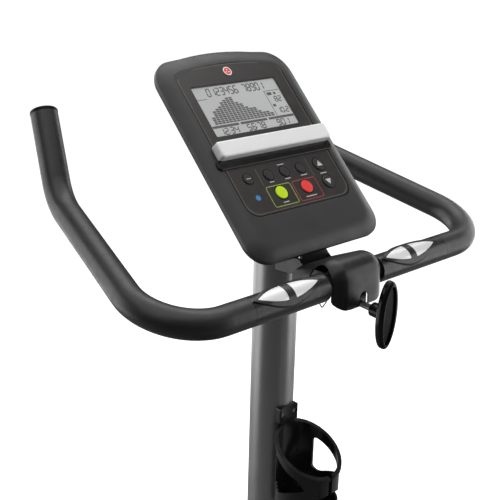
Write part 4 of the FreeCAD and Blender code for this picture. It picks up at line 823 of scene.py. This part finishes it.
def inflate(piece, floor, travel):
    """Cloth under a light pressure, its underside held; no point moves further than travel."""
    held = piece.vertex_groups.new(name="held")
    held.add([v.index for v in piece.data.vertices if v.co.z < floor + 0.004], 1.0, "REPLACE")
    rest = [v.co.copy() for v in piece.data.vertices]
    cloth = piece.modifiers.new("cushion", "CLOTH")
    cloth.settings.vertex_group_mass = "held"
    cloth.settings.use_pressure = True
    cloth.settings.uniform_pressure_force = 4
    cloth.settings.effector_weights.gravity = 0
    cloth.point_cache.frame_start, cloth.point_cache.frame_end = 1, 20
    for step in range(1, 21):
        bpy.context.scene.frame_set(step)
    apply_modifiers(piece)
    bpy.context.scene.frame_set(1)
    for vertex, start in zip(piece.data.vertices, rest):
        moved = vertex.co - start
        if moved.length > travel:
            vertex.co = start + moved * (travel / moved.length)


def rim_of(tree, middle, height, steps):
    """Where rays from outside meet the cushion at one height, all the way round."""
    points = []
    for i in range(steps):
        turn = 2 * math.pi * i / steps
        away = Vector((math.sin(turn), math.cos(turn), 0))
        start = Vector((middle.x, middle.y, height)) + away * 0.3
        points.append(tree.ray_cast(start, -away)[0])
    return points


def even_points(points, pitch):
    """Points a pitch apart along a closed line."""
    result, left = [], 0.0
    for start, end in zip(points, points[1:] + points[:1]):
        run = (end - start).length
        along = left
        while along < run:
            result.append(start.lerp(end, along / run))
            along += pitch
        left = along - run
    return result


def build_saddle(materials):
    """A pressed cushion with a relief channel, a sewn centre panel and piping at its foot."""
    low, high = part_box("saddle_pad")
    middle = (low + high) / 2
    reach = (high - low) / 2
    mesh = bmesh.new()
    mesh.from_mesh(nodes["saddle_pad"].data)
    for vertex in mesh.verts:
        offset = vertex.co - middle
        vertex.co = Vector((middle.x + offset.x * 0.955, middle.y + offset.y * 0.965,
                            low.z + (vertex.co.z - low.z) * 0.90))
    cushion = make_piece("saddle_cushion", mesh, materials["leather"], "seat", smooth=True)
    settle(cushion, "REMESH", mode="VOXEL", voxel_size=0.005)
    inflate(cushion, low.z, 0.008)
    settle(cushion, "SUBSURF", levels=1, render_levels=1)
    tree = BVHTree.FromObject(cushion, bpy.context.evaluated_depsgraph_get())
    outline = rim_of(tree, middle, low.z + 0.012, RIM_STEPS)
    core = Vector((middle.x, middle.y + 0.01, 0))
    seam = even_points([Vector((p.x, p.y, 0)).lerp(core, 0.30) for p in outline], STITCH_PITCH)
    seam_tree = KDTree(len(seam))
    for i, point in enumerate(seam):
        seam_tree.insert(point, i)
    seam_tree.balance()
    for vertex in cushion.data.vertices:
        co = vertex.co
        top = max(0.0, min(1.0, (co.z - low.z) / (high.z - low.z)))
        side, along = (co.x - middle.x) / reach.x, (co.y - middle.y) / reach.y
        channel = 0.0065 * math.exp(-((co.x - middle.x) / 0.013) ** 2) * max(0.0, 1 - (along + 0.15) ** 2 / 0.7)
        sway = 0.006 * (1 - min(1.0, (along - 0.2) ** 2 * 1.6)) + 0.005 * side * side
        to_seam = seam_tree.find(Vector((co.x, co.y, 0)))[2]
        groove = 0.0022 * math.exp(-(to_seam / 0.0032) ** 2) if top > 0.5 else 0.0
        co.z -= (channel + sway + groove) * top
        co.z = max(low.z, min(high.z, co.z))
    for polygon in cushion.data.polygons:
        polygon.use_smooth = True
    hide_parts("saddle_pad")
    surface_tree = BVHTree.FromObject(cushion, bpy.context.evaluated_depsgraph_get())
    stitches = bmesh.new()
    for i, point in enumerate(seam):
        ahead = (seam[(i + 1) % len(seam)] - seam[i - 1]).normalized()
        for side in (-1, 1):
            at = point + Vector((-ahead.y, ahead.x, 0)) * side * 0.0042
            ends = [surface_tree.ray_cast(at + ahead * step + Vector((0, 0, 2)), Vector((0, 0, -1)))[0]
                    for step in (-0.0018, 0, 0.0018)]
            if None not in ends:
                add_tube(stitches, ends, 0.45, steps=6, swell=lambda k: 1.0 if k == 1 else 0.55)
    make_piece("saddle_stitches", stitches, materials["thread"], "seat", smooth=True)
    piping = bmesh.new()
    foot = rim_of(surface_tree, middle, low.z + 0.003, RIM_STEPS)
    add_tube(piping, foot, 1.8, closed=True)
    make_piece("saddle_piping", piping, materials["leather"], "seat", smooth=True)


# ---------------------------------------------------------------- drive cover, cranks and pedals
def side_plane(side, x):
    """A plane on one side of the bike: u is ahead, v is up, the normal points outward."""
    return plane_at(Vector((0, 1, 0)), Vector((0, 0, 1)), Vector((side, 0, 0)), Vector((x, 0, 0)))


def slanted_slot(y, z, length, width, lean):
    """A slot with round ends round a middle point, leaning by an angle in degrees."""
    turn = math.radians(lean)
    along, across = Vector((math.cos(turn), math.sin(turn))), Vector((-math.sin(turn), math.cos(turn)))
    middle = Vector((y, z))
    points = []
    for end, start_angle in ((1, -90), (-1, 90)):
        for i in range(7):
            a = math.radians(start_angle + 30 * i)
            points.append(tuple(middle + along * (end * (length / 2 - width / 2) + math.cos(a) * width / 2)
                                + across * math.sin(a) * width / 2))
    return points


STYLE_LINE = (((-168, 300), (-162, 300)), ((-150, 420), (-143, 417)), ((-118, 505), (-112, 498)),
              ((-96, 508), (-98, 500)), ((20, 424), (18, 417)), ((215, 452), (219, 445)),
              ((300, 540), (304, 532)), ((345, 560), (345, 553)))


def build_cover_details(materials):
    """Vents, a styling line and the crank rings on both halves of the drive cover; each vent's slot is a
    near-black sheet, painted shade in place of the dark inside.
    """
    crank = Vector(joints["crank_spin"]["pos_m"]) / MM
    for side, name in ((-1, "left"), (1, "right")):
        low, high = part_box(f"{name}_shroud")
        face = high.x if side > 0 else low.x
        plane = side_plane(side, face)
        # Each vent slot is a near-black sheet inside a raised rim: painted shade in place of the shadow inside
        # the opening.
        slot_shade, rims = Sheet(plane), Sheet(plane)
        for i in range(7):
            y, z = 238 + 13 * i, 236 + 20 * i
            length = 92 - 7 * abs(i - 2.5)
            slot_shade.shape(slanted_slot(y, z, length, 6, 12), -0.2, 0.12)
            rims.band(slanted_slot(y, z, length + 4, 10, 12), slanted_slot(y, z, length, 6, 12), -0.2, 1.1)
        slot_shade.done(f"{name}_vent_slot_shade", materials["painted_hole_shade"], slot=f"{name}_shroud")
        rims.done(f"{name}_vent_rims", materials["shroud"], bevel=0.5, slot=f"{name}_shroud")
        line = Sheet(plane)
        for (a, c), (b, d) in zip(STYLE_LINE, STYLE_LINE[1:]):
            line.shape([a, b, d, c], -0.2, 1.0)
        line.done(f"{name}_style_line", materials["accent"], bevel=0.3, slot=f"{name}_shroud")
        ring = bmesh.new()
        add_turned(ring, Vector((face, crank.y * MM, crank.z * MM)), (side, 0, 0),
                   [(-0.5, 46), (1.2, 46), (2.6, 44), (3.0, 41), (2.2, 36), (2.6, 31), (2.2, 27), (-0.5, 27)],
                   72)
        make_piece(f"{name}_crank_ring", ring, materials["gloss"], "frame", smooth=True)
        cap = bmesh.new()
        low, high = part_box("crank_spindle")
        outer = 86.02 * MM * side
        add_turned(cap, Vector((outer, (low.y + high.y) / 2, (low.z + high.z) / 2)), (side, 0, 0),
                   [(0, 12), (1.2, 12), (2.6, 10.5), (3.4, 7), (3.6, 0)])
        make_piece(f"{name}_crank_cap", cap, materials["matte"], "crank", smooth=True)


def build_pedal_details(materials):
    """Tread pins, amber reflectors, the strap's holes and its buckle; the holes are near-black studs, painted
    shade in place of real openings.
    """
    for side, name in ((-1, "left"), (1, "right")):
        low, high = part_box(f"{name}_pedal")
        centre = Vector(((low.x + high.x) / 2 - side * 0.002, (low.y + high.y) / 2, low.z + 0.013))
        body, slot = f"{name}_pedal_body", f"{name}_pedal"
        pins = bmesh.new()
        for up in (-1, 1):
            for y in (-41, 41):
                for i in range(8):
                    at = centre + Vector((-38.5 + 11 * i, y, up * 10.9)) * MM
                    add_turned(pins, at, (0, 0, up), [(0, 2.2), (1.2, 1.9), (2.0, 1.0), (2.1, 0)], 12)
        make_piece(f"{name}_tread_pins", pins, materials["matte"], body, smooth=True)
        for end, label in ((-1, "rear"), (1, "front")):
            lamp = Sheet(Matrix(((1, 0, 0, centre.x), (0, 0, end, centre.y + end * 0.045),
                                 (0, 1, 0, centre.z), (0, 0, 0, 1))))
            lamp.shape(rounded_box(-24, 24, -6.5, 6.5, 2), -0.5, 2.2)
            lamp.done(f"{name}_{label}_reflector", materials["reflector"], body, bevel=0.8, slot=slot)
        radius, lift = 49.4, 18.6
        holes, buckle = bmesh.new(), bmesh.new()
        # The strap's holes: near-black studs, painted shade in place of real openings.
        for i in range(7):
            a = math.radians(22 + 9 * i)
            out = Vector((side * math.cos(a), 0, math.sin(a)))
            add_turned(holes, centre + Vector((0, 28, lift)) * MM + out * (radius - 0.3) * MM, out,
                       [(0, 2.1), (0.45, 2.1), (0.45, 1.3), (0.2, 0)], 16)
        make_piece(f"{name}_strap_hole_shade", holes, materials["painted_hole_shade"], body, smooth=True)
        a = math.radians(100)
        out = Vector((side * math.cos(a), 0, math.sin(a)))
        along = Vector((-side * math.sin(a), 0, math.cos(a)))
        seat = centre + Vector((0, 28, lift)) * MM + out * (radius + 1.0) * MM
        corners = [(-7, -14), (7, -14), (7, 14), (-7, 14)]
        frame_points = [seat + along * u * MM + Vector((0, v, 0)) * MM for u, v in corners]
        loop = [frame_points[i].lerp(frame_points[(i + 1) % 4], k / 6) for i in range(4) for k in range(6)]
        add_tube(buckle, loop, 1.3, closed=True, steps=8)
        make_piece(f"{name}_strap_buckle", buckle, materials["matte"], body, smooth=True)


def build_post_scale(materials):
    """Heights 1 to 7 marked beside the seat post's holes and curved to the post."""
    up = Vector(joints["seat_height"]["axis"]).normalized()
    ahead = up.cross(Vector((1, 0, 0)))
    low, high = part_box("seat_sleeve")
    origin = Vector((POST_RADIUS, low.y + 0.0251, high.z - 0.0067)) + up * 0.030
    matrix = plane_at(ahead, up, Vector((1, 0, 0)), origin)
    marks = Sheet(matrix)
    for i in range(7):
        v = 25 * i
        for u in (-6.5, -5.5, -4.5, -3.5):
            marks.shape([(u, v - 0.4), (u + 1, v - 0.4), (u + 1, v + 0.4), (u, v + 0.4)], -0.3, 0.03)
        draw_digits(marks, str(7 - i), -1, v - 2.6, 2.8, 5.2, 0.8, 4, -0.3, 0.03)
    for vert in marks.mesh.verts:
        across, along, height = matrix.inverted() @ vert.co
        turn = across / POST_RADIUS
        away = POST_RADIUS + height
        vert.co = matrix @ Vector((away * math.sin(turn), along, away * math.cos(turn) - POST_RADIUS))
    marks.done("post_scale", materials["ink"], "seat", slot="seat_post")


# ---------------------------------------------------------------- scene
def build_stage(materials):
    bpy.ops.mesh.primitive_plane_add(size=60)
    floor = bpy.context.object
    floor.name = "floor"
    floor.data.materials.append(materials["floor"])
    world = bpy.data.worlds.new("studio")
    world.use_nodes = True
    tree = world.node_tree
    path = tree.nodes.new("ShaderNodeLightPath")
    level = tree.nodes.new("ShaderNodeMapRange")
    level.inputs["To Min"].default_value = AMBIENT
    level.inputs["To Max"].default_value = 1.0
    tree.links.new(path.outputs["Is Camera Ray"], level.inputs["Value"])
    tree.links.new(level.outputs["Result"], tree.nodes["Background"].inputs["Strength"])
    tree.nodes["Background"].inputs["Color"].default_value = (1, 1, 1, 1)
    bpy.context.scene.world = world
    bpy.context.scene.view_settings.view_transform = "Standard"


def add_softbox(name, place, target, size, power):
    light = bpy.data.lights.new(name, "AREA")
    light.shape = "RECTANGLE"
    light.size, light.size_y = size
    light.energy = power
    lamp = add_object(name, light)
    lamp.location = place
    lamp.rotation_euler = (Vector(target) - Vector(place)).to_track_quat("-Z", "Y").to_euler()


def build_lights():
    """Tall panels at both sides and beyond the bike, a soft top light, a weak fill and a light for the floor."""
    ahead, right = Vector((0.678, 0.735, 0)), Vector((0.735, -0.678, 0))
    middle = BAR + Vector((0, 0, -0.25))
    for name, side in (("left", -1), ("right", 1)):
        add_softbox(f"{name}_side_panel", middle + ahead * 0.25 + right * side * 2.1, middle, (1.5, 2.6), 24)
        add_softbox(f"{name}_back_panel", middle + ahead * 1.9 + right * side * 1.6, middle, (1.6, 2.8), 26)
    add_softbox("top_light", middle + ahead * 1.2 + Vector((0, 0, 2.0)), middle, (2.2, 1.4), 14)
    add_softbox("front_fill", middle - ahead * 1.8 - right * 1.2 + Vector((0, 0, 2.0)), middle, (1.6, 1.6), 7)
    add_softbox("floor_light", Vector((0, 0, 4.5)), Vector((0, 0, 0)), (5, 5), 90)


def build_camera():
    """The viewpoint: behind the handlebar and to its left, looking a little down on it."""
    turn, dip = math.radians(42.67), math.radians(17.96)
    data = bpy.data.cameras.new("camera")
    data.lens, data.sensor_width = 70.47, 36
    camera = add_object("camera", data)
    camera.location = BAR + Vector((-0.8135, -0.7100, 0.3819))
    camera.rotation_euler = (math.pi / 2 - dip, 0, -turn)
    bpy.context.scene.camera = camera


def main():
    materials = make_materials()
    finish_frame(materials)
    build_stage(materials)
    build_lights()
    build_camera()
    for build in (build_display, build_panel_marks, build_badge, build_rack_ledge_and_shadow, build_bezel, build_hood,
                  build_knob_dish, build_arm_web, build_saddle, build_cover_details, build_pedal_details,
                  build_post_scale):
        build(materials)


main()
